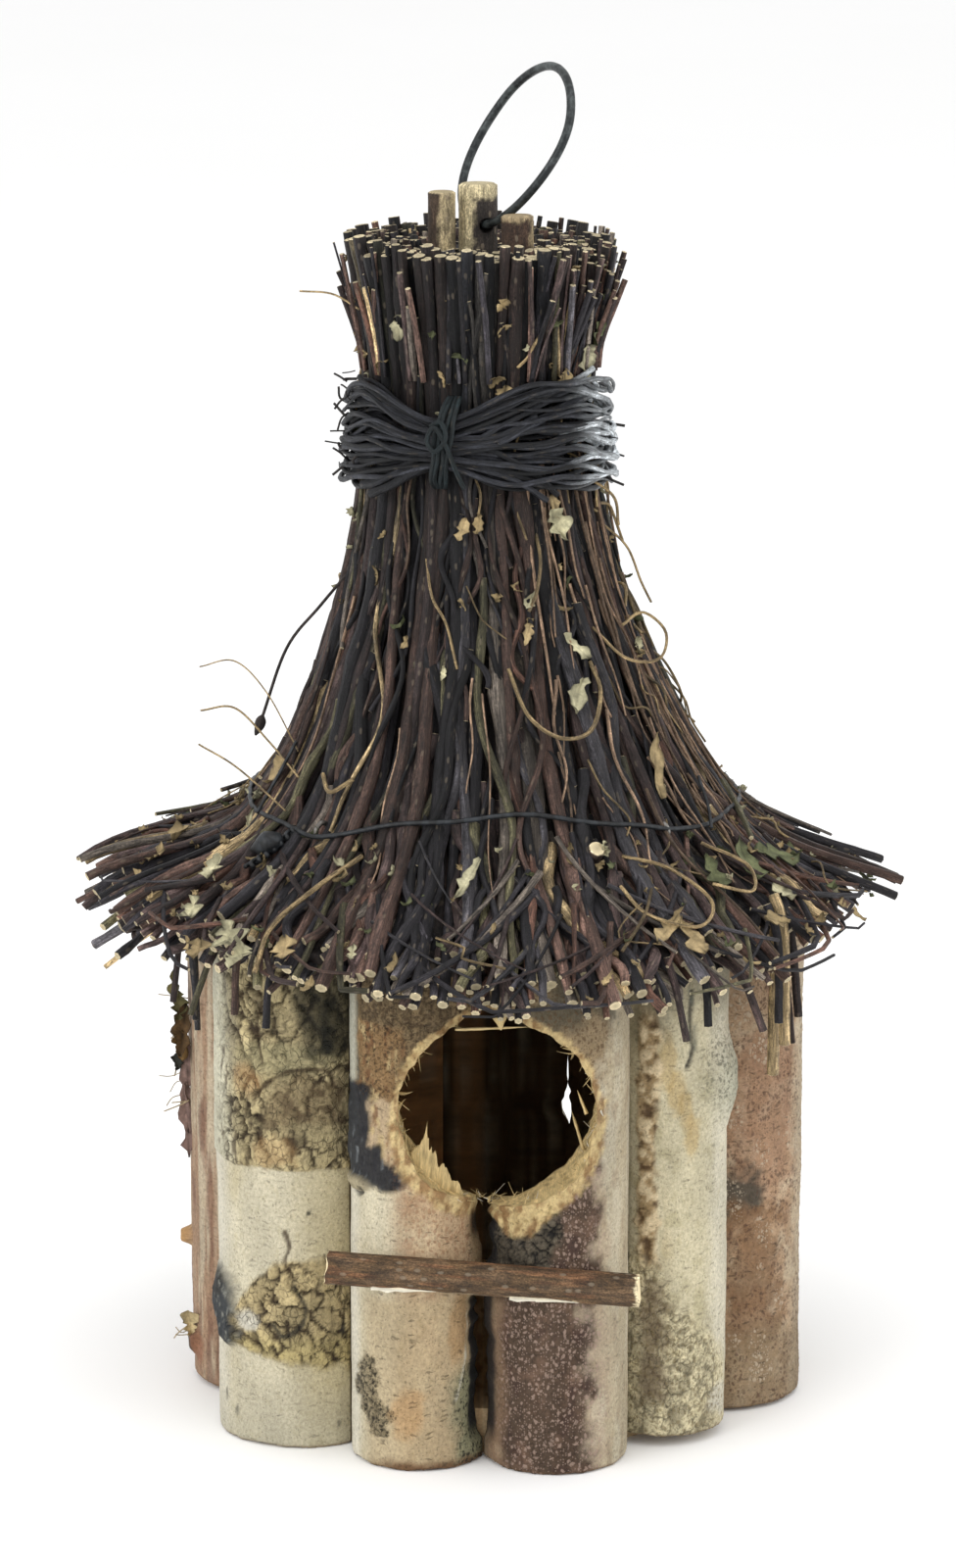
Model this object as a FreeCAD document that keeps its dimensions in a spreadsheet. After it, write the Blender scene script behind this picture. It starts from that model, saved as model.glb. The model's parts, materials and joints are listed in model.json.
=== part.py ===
"""A rustic birdhouse: a ring of half logs nailed round a floor disc and a ceiling disc, an entrance
hole and a perch stick at the front, and a flared twig roof gathered round three stakes, bound at the
neck, wired at the flare and hung from a steel ring. Millimetres, +Z up, front towards -Y, origin at
the middle of the floor disc's underside."""

import FreeCAD
import Part

import math
import os

App = FreeCAD
V = App.Vector
doc = FreeCAD.newDocument("Birdhouse")

# ---------------------------------------------------------------- driving dimensions
DIMENSIONS = {
    # the log ring: flat faces inward, at the apothem
    "apothem": 46.0,
    "log_length": 104.0,
    "log_gap": 0.3,
    # floor and ceiling
    "disc_radius": 45.6,
    "floor_thick": 9.0,
    "ceiling_thick": 9.0,
    # entrance hole through the two front logs
    "hole_radius": 19.0,
    "hole_height": 71.5,
    "hole_offset": 1.0,
    "hole_tool_length": 30.0,
    # brads
    "brad_radius": 0.65,
    "brad_hole_radius": 0.7,
    "brad_length": 24.0,
    "brad_sunk": 0.6,
    # perch
    "perch_radius": 3.3,
    "perch_length": 58.0,
    "perch_height": 39.5,
    "perch_roll": 3.2,
    "perch_brad_length": 15.0,
    # stakes
    "stake_glue": 0.05,
    "stake_tall_radius": 3.8,
    "stake_tall_top": 240.5,
    "stake_slim_radius": 2.7,
    "stake_slim_top": 239.5,
    "stake_short_radius": 3.1,
    "stake_short_top": 236.2,
    # hanger ring and the bore it swings in
    "ring_radius": 16.2,
    "ring_wire_radius": 0.85,
    "bore_radius": 1.6,
    "bore_height": 232.8,
    "ring_lean": 24.0,
    "ring_heading": 26.7,
    # thatch
    "twig_radius": 1.2,
    "core_gap": 2.2,
    "core_top": 228.5,
    "core_floor_gap": 0.4,
    "long_twigs": 52.0,
    "sheaves": 13.0,
    # neck binding
    "strand_radius": 1.3,
    "strand_ring_radius": 24.95,
    "strand_rings": 7.0,
    "strand_low": 187.4,
    "strand_pitch": 2.75,
    "tie_radius": 0.8,
    # flare wire and its staples
    "flare_wire_radius": 0.55,
    "flare_wire_height": 121.3,
    "flare_wire_ring_radius": 46.2,
    "staple_wire_radius": 0.5,
    "staple_leg": 9.0,
    "staple_half_width": 1.6,
}

# Each log: node name, radius, how far its foot is cut short.
LOGS = [
    ("log_front_left", 13.0, 0.0),
    ("log_front_right", 14.2, 0.0),
    ("log_right", 11.9, 2.0),
    ("log_far_right", 16.0, 0.6),
    ("log_back_1", 12.8, 1.4),
    ("log_back_2", 11.8, 0.0),
    ("log_back_3", 13.2, 1.0),
    ("log_back_4", 12.0, 0.0),
    ("log_back_5", 12.2, 1.8),
    ("log_far_left", 14.3, 0.8),
    ("log_left", 16.6, 0.0),
]
FRONT_LEFT_AZIMUTH = -18.0  # degrees from straight ahead, positive towards +X

# Stakes as (x, y) in plan.
STAKE_TALL = (-2.6, 4.0)
STAKE_SLIM = (-9.8, 0.2)
STAKE_SHORT = (4.8, -9.4)

# The thatch's twig line, from the cut tops down to the eave, as (distance from the axis, height).
TWIG_LINE = [
    (24.6, 231.5),
    (21.3, 202.0),
    (23.2, 175.0),
    (33.0, 141.5),
    (44.0, 119.5),
    (60.5, 108.0),
]
EAVE_START = (51.0, 114.6)
EAVE_REACH = (17.5, 9.6)  # from the last point of the twig line to an average twig's tip

sheet = doc.addObject("Spreadsheet::Sheet", "Sizes")
for row, (alias, value) in enumerate(DIMENSIONS.items(), start=1):
    sheet.set(f"A{row}", alias)
    sheet.set(f"B{row}", str(value))
    sheet.setAlias(f"B{row}", alias)
log_row = len(DIMENSIONS)
for log_name, radius, foot in LOGS:
    for suffix, value in (("radius", radius), ("foot", foot)):
        log_row += 1
        alias = f"{log_name}_{suffix}"
        sheet.set(f"A{log_row}", alias)
        sheet.set(f"B{log_row}", str(value))
        sheet.setAlias(f"B{log_row}", alias)
doc.recompute()

subparts = []


def size(alias):
    """The value that a cell of the sheet holds."""
    return float(sheet.get(alias))


def keep(obj, node):
    """Marks a finished object as a sub-part with this node name."""
    obj.Label = node
    subparts.append(obj)
    return obj


def primitive(kind, name, **bound):
    """A Part primitive whose sizes are bound to the sheet."""
    obj = doc.addObject("Part::" + kind, name)
    for prop, expression in bound.items():
        obj.setExpression(prop, expression)
    return obj


def cell(alias):
    return "Sizes." + alias


def outward(azimuth):
    """The unit vector that points out from the axis at this azimuth from the front."""
    a = math.radians(azimuth)
    return V(math.sin(a), -math.cos(a), 0)


def axes_placement(base, x_axis, y_axis, z_axis):
    """A placement at base whose local axes lie along the given directions."""
    return App.Placement(base, App.Rotation(x_axis, y_axis, z_axis, "ZYX"))


def compound(name, members):
    group = doc.addObject("Part::Compound", name)
    group.Links = members
    return group


def cut(name, base, tool):
    result = doc.addObject("Part::Cut", name)
    result.Base = base
    result.Tool = tool
    return result


def shape_node(node, shape):
    """A sub-part whose shape is worked out here from the sheet's values."""
    obj = doc.addObject("Part::Feature", node)
    obj.Shape = shape
    return keep(obj, node)


# ---------------------------------------------------------------- paths


def rounded_path(points):
    """A wire through points: straight runs joined by tangent arcs as large as the runs allow."""
    edges = []
    start = points[0]
    for before, corner, after in zip(points, points[1:], points[2:]):
        run_in, run_out = corner - before, after - corner
        turn = run_in.getAngle(run_out)
        reach = 0.45 * min(run_in.Length, run_out.Length)
        radius = reach / math.tan(turn / 2)
        into, out = V(run_in).normalize(), V(run_out).normalize()
        first, last = corner - into * reach, corner + out * reach
        middle = corner + (out - into).normalize() * (radius / math.cos(turn / 2) - radius)
        edges.append(Part.LineSegment(start, first).toShape())
        edges.append(Part.Arc(first, middle, last).toShape())
        start = last
    edges.append(Part.LineSegment(start, points[-1]).toShape())
    return Part.Wire(edges)


def tube(points, radius):
    """A round rod that follows the rounded path through points."""
    path = rounded_path(points) if len(points) > 2 else Part.Wire([Part.LineSegment(*points).toShape()])
    profile = Part.Wire([Part.Circle(points[0], points[1] - points[0], radius).toShape()])
    return path.makePipeShell([profile], True, True)


def meridian(distance, height, azimuth=0.0):
    """The point at this distance from the axis and this height, on the half plane at azimuth."""
    return outward(azimuth) * distance + V(0, 0, height)


# ---------------------------------------------------------------- the ring of half logs


def log_azimuths():
    """Where each log stands: neighbours' flat faces meet edge to edge, a gap apart."""
    half = [math.degrees(math.atan((size(f"{n}_radius") + size("log_gap") / 2) / size("apothem")))
            for n, _, _ in LOGS]
    front = 3  # the first logs, front left to far right, keep their places; the back shares the rest
    azimuths = [FRONT_LEFT_AZIMUTH]
    for i in range(1, len(LOGS)):
        azimuths.append(azimuths[-1] + half[i - 1] + half[i])
    closing = 360.0 - 2 * sum(half)
    slack = closing / (len(LOGS) - front)
    return [a + slack * max(0, i - front + 0.5) if i >= front else a for i, a in enumerate(azimuths)]


AZIMUTHS = dict(zip([n for n, _, _ in LOGS], log_azimuths()))


def crown(node):
    """How far a log's rounded side stands from the axis."""
    return size("apothem") + size(f"{node}_radius")


def brad(name, node, height, radius_alias, extra=0.0):
    """A radial pin through a log's crown at this height."""
    obj = primitive("Cylinder", name, Radius=cell(radius_alias))
    obj.setExpression("Height", f"{cell('brad_length')} + {extra}")
    out = outward(AZIMUTHS[node])
    head = out * (crown(node) - size("brad_sunk") + extra) + V(0, 0, height)
    obj.Placement = App.Placement(head, App.Rotation(V(0, 0, 1), -out))
    return obj


FLOOR_BRAD_HEIGHT = size("floor_thick") / 2
CEILING_BRAD_HEIGHT = size("log_length") - size("ceiling_thick") / 2
BRAD_HEIGHTS = (FLOOR_BRAD_HEIGHT, CEILING_BRAD_HEIGHT)
HOLE_EXTRA = 2.0  # how far a brad's hole runs past its head, out through the bark

brad_holes = compound("Brad_holes", [
    brad(f"Hole_{node}_{i}", node, z, "brad_hole_radius", HOLE_EXTRA)
    for node, _, _ in LOGS for i, z in enumerate(BRAD_HEIGHTS)
])


def perch_frame():
    """The perch's middle on the logs, the way out from them, and the way along it to the right."""
    left, right = "log_front_left", "log_front_right"
    a = outward(AZIMUTHS[left]) * size("apothem")
    b = outward(AZIMUTHS[right]) * size("apothem")
    across = b - a
    step_out = size(f"{right}_radius") - size(f"{left}_radius")
    along = V(across).normalize()
    square = V(along.y, -along.x, 0)
    tilt = step_out / across.Length
    out = square * math.sqrt(1 - tilt * tilt) - along * tilt
    touch_a = a + out * size(f"{left}_radius")
    touch_b = b + out * size(f"{right}_radius")
    right_way = V(touch_b - touch_a).normalize()
    roll = math.radians(size("perch_roll"))
    direction = right_way * math.cos(roll) - V(0, 0, math.sin(roll))
    middle = (touch_a + touch_b) / 2 + V(0, 0, size("perch_height"))
    return middle, out, direction, touch_a, touch_b


PERCH_GAP = 0.15
PERCH_MIDDLE, PERCH_OUT, PERCH_ALONG, TOUCH_LEFT, TOUCH_RIGHT = perch_frame()
PERCH_SHIFT = -1.5  # the stick's middle stands this far along from the middle of the two crowns


def on_perch(touch):
    """The point of the perch's back face that lies over a log's crown."""
    distance = (touch - PERCH_MIDDLE).dot(PERCH_ALONG)
    return PERCH_MIDDLE + PERCH_ALONG * distance


def perch_brad(name, touch, radius_alias, extra=0.0):
    obj = primitive("Cylinder", name, Radius=cell(radius_alias))
    obj.setExpression("Height", f"{cell('perch_brad_length')} + {extra}")
    head = on_perch(touch) + PERCH_OUT * (size("perch_radius") - 0.5 + extra)
    obj.Placement = App.Placement(head, App.Rotation(V(0, 0, 1), -PERCH_OUT))
    return obj


perch_holes = compound("Perch_holes", [
    perch_brad("Perch_hole_left", TOUCH_LEFT, "brad_hole_radius", HOLE_EXTRA),
    perch_brad("Perch_hole_right", TOUCH_RIGHT, "brad_hole_radius", HOLE_EXTRA),
])

entrance = primitive("Cylinder", "Entrance", Radius=cell("hole_radius"), Height=cell("hole_tool_length"))
entrance.Placement = App.Placement(
    V(size("hole_offset"), -size("apothem") + 8.0, size("hole_height")),
    App.Rotation(V(0, 0, 1), V(0, -1, 0)),
)


def make_log(node):
    """A half log, flat side in, with its brad holes and, at the front, its share of the entrance."""
    half = primitive("Cylinder", "Half_" + node, Radius=cell(f"{node}_radius"))
    half.setExpression("Height", f"{cell('log_length')} - {cell(node + '_foot')}")
    half.Angle = 180
    out = outward(AZIMUTHS[node])
    base = out * size("apothem") + V(0, 0, size(f"{node}_foot"))
    half.Placement = App.Placement(base, App.Rotation(V(0, 0, 1), AZIMUTHS[node] + 180))
    tools = [brad_holes]
    if node.startswith("log_front"):
        tools += [perch_holes, entrance]
    for i, tool in enumerate(tools):
        half = cut(f"Cut_{node}_{i}", half, tool)
    keep(half, node)


for log_node, _, _ in LOGS:
    make_log(log_node)

log_brads = compound("Log_brads", [
    brad(f"Brad_{node}_{i}", node, z, "brad_radius")
    for node, _, _ in LOGS for i, z in enumerate(BRAD_HEIGHTS)
])
keep(log_brads, "log_brads")

# ---------------------------------------------------------------- floor and ceiling
floor = primitive("Cylinder", "Floor", Radius=cell("disc_radius"), Height=cell("floor_thick"))
keep(cut("Floor_cut", floor, brad_holes), "floor_disc")

ceiling = primitive("Cylinder", "Ceiling", Radius=cell("disc_radius"), Height=cell("ceiling_thick"))
ceiling.Placement = App.Placement(V(0, 0, size("log_length") - size("ceiling_thick")), App.Rotation())

STAKES = {
    "stake_tall": STAKE_TALL,
    "stake_slim": STAKE_SLIM,
    "stake_short": STAKE_SHORT,
}
STAKE_FOOT = size("log_length") - size("ceiling_thick") + 1.5


def stake_rod(name, stake, grow=0.0):
    """A stake from its socket in the ceiling to its sawn top, or the socket that fits round it."""
    x, y = STAKES[stake]
    rod = primitive("Cylinder", name)
    rod.setExpression("Radius", f"{cell(stake + '_radius')} + {grow}")
    rod.setExpression("Height", f"{cell(stake + '_top')} - {STAKE_FOOT}")
    rod.Placement = App.Placement(V(x, y, STAKE_FOOT), App.Rotation())
    return rod


stake_sockets = compound("Stake_sockets", [
    stake_rod("Socket_" + stake, stake, size("stake_glue")) for stake in STAKES
])
keep(cut("Ceiling_sockets", cut("Ceiling_cut", ceiling, brad_holes), stake_sockets), "ceiling_disc")

# ---------------------------------------------------------------- perch
perch = primitive("Cylinder", "Perch", Radius=cell("perch_radius"), Height=cell("perch_length"))
perch.Angle = 180
perch_across = PERCH_OUT.cross(PERCH_ALONG)
perch.Placement = axes_placement(
    PERCH_MIDDLE + PERCH_OUT * PERCH_GAP - PERCH_ALONG * (size("perch_length") / 2 - PERCH_SHIFT),
    perch_across, PERCH_OUT, PERCH_ALONG,
)
keep(cut("Perch_cut", perch, perch_holes), "perch_stick")
keep(compound("Perch_brads", [
    perch_brad("Perch_brad_left", TOUCH_LEFT, "brad_radius"),
    perch_brad("Perch_brad_right", TOUCH_RIGHT, "brad_radius"),
]), "perch_brads")

# ---------------------------------------------------------------- stakes and hanger ring
HEADING = math.radians(size("ring_heading"))
BORE_AXIS = V(math.sin(HEADING), -math.cos(HEADING), 0)
BORE_CENTRE = V(STAKE_TALL[0], STAKE_TALL[1], size("bore_height"))

bore = primitive("Cylinder", "Hanger_bore", Radius=cell("bore_radius"))
bore.setExpression("Height", f"4 * {cell('stake_tall_radius')}")
bore.Placement = App.Placement(
    BORE_CENTRE - BORE_AXIS * (2 * size("stake_tall_radius")), App.Rotation(V(0, 0, 1), BORE_AXIS)
)
keep(cut("Stake_tall_cut", stake_rod("Stake_tall_rod", "stake_tall"), bore), "stake_tall")
keep(stake_rod("Stake_slim_rod", "stake_slim"), "stake_slim")
keep(stake_rod("Stake_short_rod", "stake_short"), "stake_short")

LEAN = math.radians(size("ring_lean"))
lean_way = V(-BORE_AXIS.y, BORE_AXIS.x, 0)
ring_up = lean_way * math.sin(LEAN) + V(0, 0, math.cos(LEAN))
ring = primitive("Torus", "Ring", Radius1=cell("ring_radius"), Radius2=cell("ring_wire_radius"))
ring.Placement = axes_placement(
    BORE_CENTRE + ring_up * size("ring_radius"), BORE_AXIS, ring_up, BORE_AXIS.cross(ring_up)
)
keep(ring, "hanger_ring")

# ---------------------------------------------------------------- thatch
def inside_line(gap):
    """The twig line set back towards the axis by gap, corner by corner, with its tip."""
    line = [*TWIG_LINE, (TWIG_LINE[-1][0] + EAVE_REACH[0], TWIG_LINE[-1][1] - EAVE_REACH[1])]
    steps = [(b[0] - a[0], b[1] - a[1]) for a, b in zip(line, line[1:])]
    sides = [(dz / math.hypot(dr, dz), -dr / math.hypot(dr, dz)) for dr, dz in steps]
    at_corners = [sides[0], *zip_middles(sides), sides[-1]]
    return [(d + gap * nx, z + gap * nz) for (d, z), (nx, nz) in zip(line, at_corners)]


def zip_middles(sides):
    """The direction half way between each two neighbouring normals."""
    for a, b in zip(sides, sides[1:]):
        total = (a[0] + b[0], a[1] + b[1])
        length = math.hypot(*total)
        yield (total[0] / length, total[1] / length)


CORE_REST_MARGIN = 0.8  # how far the core's flat seat runs past the thickest log


def thatch_core():
    """The packed inner twigs: a bell round the stakes that stands on the logs and hangs over them."""
    outer = inside_line(size("core_gap"))
    floor_z = size("log_length") + size("core_floor_gap")
    outer[0] = (outer[0][0], size("core_top"))
    last_r, last_z = outer[-1]
    rest_r = size("apothem") + max(radius for _, radius, _ in LOGS) + CORE_REST_MARGIN
    under = [(last_r - 1.0, last_z - 3.0), (rest_r + 2.0, floor_z - 2.2), (rest_r, floor_z)]
    path = rounded_path([V(r, 0, z) for r, z in outer])
    closing = [V(*p) for p in [(last_r, 0, last_z), *((r, 0, z) for r, z in under),
                               (0, 0, floor_z), (0, 0, size("core_top")), (outer[0][0], 0, size("core_top"))]]
    face = Part.Face(Part.Wire([*path.Edges, *Part.makePolygon(closing).Edges]))
    bell = face.revolve(V(0, 0, 0), V(0, 0, 1), 360)
    for socket in stake_sockets.Links:
        bell = bell.cut(socket.Shape)
    return bell


doc.recompute()
shape_node("thatch_core", thatch_core())


def tip(extra):
    """The point where a twig ends, extra further out along the eave than an average one."""
    reach = math.hypot(*EAVE_REACH)
    share = 1 + extra / reach
    r, z = TWIG_LINE[-1]
    return (r + EAVE_REACH[0] * share, z - EAVE_REACH[1] * share)


def twig(azimuth, line, radius):
    return tube([meridian(r, z, azimuth) for r, z in line], radius)


def sheaf(index):
    """One of the bunches that the outer thatch is laid in: long twigs with eave twigs between."""
    count, sheaves = int(size("long_twigs")), int(size("sheaves"))
    each = count // sheaves
    twigs = []
    for i in range(index * each, (index + 1) * each):
        azimuth = 360.0 * i / count
        long_extra = 2.4 * math.sin(2.4 * i)
        eave_extra = 2.8 * math.cos(1.7 * i) - 0.8
        top_step = 0.9 * math.sin(3.9 * i)
        top = (TWIG_LINE[0][0], TWIG_LINE[0][1] + top_step)
        twigs.append(twig(azimuth, [top, *TWIG_LINE[1:], tip(long_extra)], size("twig_radius")))
        eave_line = [EAVE_START, TWIG_LINE[-1], tip(eave_extra)]
        twigs.append(twig(azimuth + 180.0 / count, eave_line, size("twig_radius") - 0.1))
    return Part.makeCompound(twigs)


for sheaf_index in range(int(size("sheaves"))):
    shape_node(f"twig_sheaf_{sheaf_index + 1:02d}", sheaf(sheaf_index))

# ---------------------------------------------------------------- neck binding
strands = []
for ring_index in range(int(size("strand_rings"))):
    strand = primitive(
        "Torus", f"Strand_{ring_index}", Radius1=cell("strand_ring_radius"), Radius2=cell("strand_radius")
    )
    height = size("strand_low") + ring_index * size("strand_pitch")
    strand.Placement = App.Placement(V(0, 0, height), App.Rotation())
    strands.append(strand)
keep(compound("Neck_binding", strands), "neck_binding")

TIE_AZIMUTH = -18.0
TIE_MARGIN = 0.25


def binding_tie():
    """The thin tie across the front of the binding, its ends tucked in above and below the strands."""
    off_strand = size("strand_radius") + size("tie_radius") + TIE_MARGIN
    low = size("strand_low") - off_strand
    high = size("strand_low") + (size("strand_rings") - 1) * size("strand_pitch") + off_strand
    front = size("strand_ring_radius") + off_strand
    tucked = size("strand_ring_radius") + 0.3
    corners = [(tucked, low), (front, low), (front, high), (tucked, high)]
    return tube([meridian(r, z, TIE_AZIMUTH) for r, z in corners], size("tie_radius"))


shape_node("binding_tie", binding_tie())

# ---------------------------------------------------------------- flare wire and staples
flare_wire = primitive(
    "Torus", "Flare_wire", Radius1=cell("flare_wire_ring_radius"), Radius2=cell("flare_wire_radius")
)
flare_wire.Placement = App.Placement(V(0, 0, size("flare_wire_height")), App.Rotation())
keep(flare_wire, "flare_wire")


STAPLE_SLACK = 0.15  # between the flare wire and the staple that holds it


def staple(azimuth):
    """A staple driven square to the slope between two twigs, one leg above the flare wire, one below."""
    out = outward(azimuth)
    run, drop = (TWIG_LINE[-1][0] - TWIG_LINE[-2][0], TWIG_LINE[-1][1] - TWIG_LINE[-2][1])
    down = (out * run + V(0, 0, drop)).normalize()
    into = (out * drop - V(0, 0, run)).normalize()
    over = size("flare_wire_radius") + size("staple_wire_radius") + STAPLE_SLACK
    crown_point = out * size("flare_wire_ring_radius") + V(0, 0, size("flare_wire_height")) - into * over
    half = size("staple_half_width")
    foot = into * size("staple_leg")
    corners = [down * half + foot, down * half, down * -half, down * -half + foot]
    return tube([crown_point + c for c in corners], size("staple_wire_radius"))


LONG_STEP = 360.0 / size("long_twigs")
STAPLE_GAPS = (6.5, 19.5, 32.5, 45.5)  # half way between two long twigs
shape_node("wire_staples", Part.makeCompound([staple(LONG_STEP * i) for i in STAPLE_GAPS]))

# ---------------------------------------------------------------- checks and export
doc.recompute()
failed = [o.Label for o in doc.Objects if "Invalid" in o.State or "Error" in o.State]
if failed:
    raise RuntimeError(f"objects failed to recompute: {failed}")
for obj in subparts:
    shape = obj.Shape
    if shape.isNull() or not shape.isValid() or not shape.Solids:
        raise RuntimeError(f"sub-part {obj.Label} has no valid solid")

os.makedirs("parts", exist_ok=True)
for old in os.listdir("parts"):
    os.remove(os.path.join("parts", old))
for obj in subparts:
    obj.Shape.exportStep(f"parts/{obj.Label}.step")
    box = obj.Shape.BoundBox
    print(f"{obj.Label:18s} solids {len(obj.Shape.Solids):3d}  volume {obj.Shape.Volume:10.1f}  "
          f"z {box.ZMin:7.1f} to {box.ZMax:7.1f}")
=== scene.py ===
"""The birdhouse's looks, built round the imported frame. Lengths here are millimetres in the frame's axes,
heights are measured from the floor disc's underside, azimuths are degrees round from the front, positive
towards +X, and make() writes every mesh in metres. Each piece carries two values for its material at
each point: tint, its own colour, and grain, where the point lies along and around it."""

import json
import math

import bpy
import numpy as np
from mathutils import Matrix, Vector


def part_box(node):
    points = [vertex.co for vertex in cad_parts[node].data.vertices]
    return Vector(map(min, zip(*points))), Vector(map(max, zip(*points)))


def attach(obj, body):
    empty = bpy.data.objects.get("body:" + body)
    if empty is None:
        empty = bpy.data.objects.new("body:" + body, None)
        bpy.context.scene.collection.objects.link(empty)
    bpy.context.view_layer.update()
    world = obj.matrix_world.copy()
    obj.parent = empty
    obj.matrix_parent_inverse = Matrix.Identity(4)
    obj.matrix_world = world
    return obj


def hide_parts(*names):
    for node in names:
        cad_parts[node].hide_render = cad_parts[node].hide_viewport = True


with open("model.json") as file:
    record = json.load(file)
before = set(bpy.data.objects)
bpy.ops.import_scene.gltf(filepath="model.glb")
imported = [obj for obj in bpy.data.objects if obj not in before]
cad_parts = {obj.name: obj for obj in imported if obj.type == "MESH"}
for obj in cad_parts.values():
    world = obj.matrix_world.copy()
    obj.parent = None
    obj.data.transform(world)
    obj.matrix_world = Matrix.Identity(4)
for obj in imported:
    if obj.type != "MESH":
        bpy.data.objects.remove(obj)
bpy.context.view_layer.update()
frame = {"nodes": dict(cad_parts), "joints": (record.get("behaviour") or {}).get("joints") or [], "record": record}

MM = 0.001
UP = np.array([0.0, 0.0, 1.0])
NECK_LEAN = 2.6  # how far the neck stands left of the body's axis
LEAN_START, LEAN_FULL = 116, 190


# ---------------------------------------------------------------- numbers and noise
def srgb(red, green, blue):
    """A linear colour from the 0 to 255 values that a screen shows."""
    shown = np.array([red, green, blue]) / 255.0
    return np.where(shown <= 0.04045, shown / 12.92, ((shown + 0.055) / 1.055) ** 2.4)


def linear(colour):
    """A linear colour from a screen's (red, green, blue) tuple; a linear one stays as it is."""
    return srgb(*colour) if isinstance(colour, tuple) else colour


def smooth(low, high, value):
    """0 below low, 1 above high, and a smooth step between; low may be the larger."""
    t = np.clip((value - low) / (high - low), 0, 1)
    return t * t * (3 - 2 * t)


def unit(vector):
    """A vector, or each of a stack of vectors, made one long."""
    vector = np.asarray(vector, float)
    return vector / np.linalg.norm(vector, axis=-1, keepdims=True)


def at(azimuth, distance, height):
    """The point, or points, at this azimuth, distance from the axis and height."""
    a = np.radians(azimuth)
    return np.stack(np.broadcast_arrays(distance * np.sin(a), -distance * np.cos(a), height), axis=-1)


def hashed(x, y, z, salt):
    """Repeatable values from 0 to 1 at whole-number points."""
    n = (x * 374761393 + y * 668265263 + z * 1442695041 + salt * 1274126177) & 0xFFFFFFFF
    n = ((n ^ (n >> 13)) * 1274126177) & 0xFFFFFFFF
    return ((n ^ (n >> 16)) & 0xFFFF) / 65535.0


def value_noise(points, salt=0):
    """Smooth noise from -1 to 1 at points (N, 3), with a lattice of 1."""
    cell = np.floor(points).astype(np.int64)
    f = points - cell
    f = f * f * (3 - 2 * f)
    total = 0
    for dx in (0, 1):
        for dy in (0, 1):
            for dz in (0, 1):
                weight = ((f[:, 0] if dx else 1 - f[:, 0]) * (f[:, 1] if dy else 1 - f[:, 1])
                          * (f[:, 2] if dz else 1 - f[:, 2]))
                total = total + weight * hashed(cell[:, 0] + dx, cell[:, 1] + dy, cell[:, 2] + dz, salt)
    return total * 2 - 1


def noise_at(x, y, z, salt=0):
    """value_noise at these coordinates, each an array or one number."""
    return value_noise(np.stack(np.broadcast_arrays(x, y, z), axis=-1).reshape(-1, 3), salt)


def crossed(first, second):
    """Two ranges as the coordinates of a grid's points, row by row."""
    return [grid.ravel() for grid in np.meshgrid(first, second, indexing="ij")]


def furthest_pair(points):
    """The two of these points that are furthest apart, and how far."""
    gaps = np.linalg.norm(points[:, None] - points[None], axis=2)
    first, second = np.unravel_index(gaps.argmax(), gaps.shape)
    return points[first], points[second], gaps.max()


def fractal(points, salt=0, octaves=3):
    """Noise with finer noise on it, from about -1 to 1."""
    total, weight = 0, 0.6
    for octave in range(octaves):
        total = total + weight * value_noise(points * 2.03**octave, salt + octave)
        weight *= 0.5
    return total


def cells(x, y, salt=0):
    """How far each point of a plane is from the edges of scattered cells about 1 across, and a
    random value from 0 to 1 for the cell that it's in."""
    cx, cy = np.floor(x).astype(np.int64), np.floor(y).astype(np.int64)
    near, values = [], []
    for dx in (-1, 0, 1):
        for dy in (-1, 0, 1):
            px = cx + dx + hashed(cx + dx, cy + dy, 0, salt)
            py = cy + dy + hashed(cx + dx, cy + dy, 1, salt)
            near.append(np.hypot(x - px, y - py))
            values.append(hashed(cx + dx, cy + dy, 2, salt))
    near = np.stack(near)
    value = np.take_along_axis(np.stack(values), near.argmin(axis=0)[None], axis=0)[0]
    near.partition(1, axis=0)
    return near[1] - near[0], value


def curve(points, count):
    """count points evenly along a smooth curve through the given points."""
    p = np.asarray(points, float)
    p = np.vstack([2 * p[0] - p[1], p, 2 * p[-1] - p[-2]])
    t = np.linspace(0, 1, 24, endpoint=False)[:, None]
    spans = [
        0.5 * (2 * b + (c - a) * t + (2 * a - 5 * b + 4 * c - d) * t**2 + (3 * b - a - 3 * c + d) * t**3)
        for a, b, c, d in zip(p, p[1:], p[2:], p[3:])
    ]
    dense = np.vstack([*spans, p[-2][None]])
    length = np.concatenate([[0], np.cumsum(np.linalg.norm(np.diff(dense, axis=0), axis=1))])
    even = np.linspace(0, length[-1], count)
    return np.stack([np.interp(even, length, dense[:, i]) for i in range(dense.shape[1])], axis=1)


# ---------------------------------------------------------------- the CAD frame, in millimetres
def node_box(node):
    """A CAD node's lowest and highest corners."""
    return [np.array(corner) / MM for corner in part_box(node)]


def node_points(node):
    """The points of a CAD node."""
    return np.array([v.co for v in frame["nodes"][node].data.vertices]) / MM


# ---------------------------------------------------------------- meshes
class Shape:
    """A mesh in the making."""

    def __init__(self):
        self.points, self.faces, self.slots = [], [], []
        self.tint, self.grain, self.count = [], [], 0

    def add(self, points, faces, tint, grain, slot=0):
        """Adds points, faces among them, and their tint, grain and material slot."""
        points = np.asarray(points, float)
        self.points.append(points)
        self.faces += [[i + self.count for i in face] for face in faces]
        self.slots += [slot] * len(faces) if isinstance(slot, int) else list(slot)
        self.tint.append(np.broadcast_to(tint, (len(points), 3)))
        self.grain.append(np.broadcast_to(grain, (len(points), 3)))
        self.count += len(points)


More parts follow.
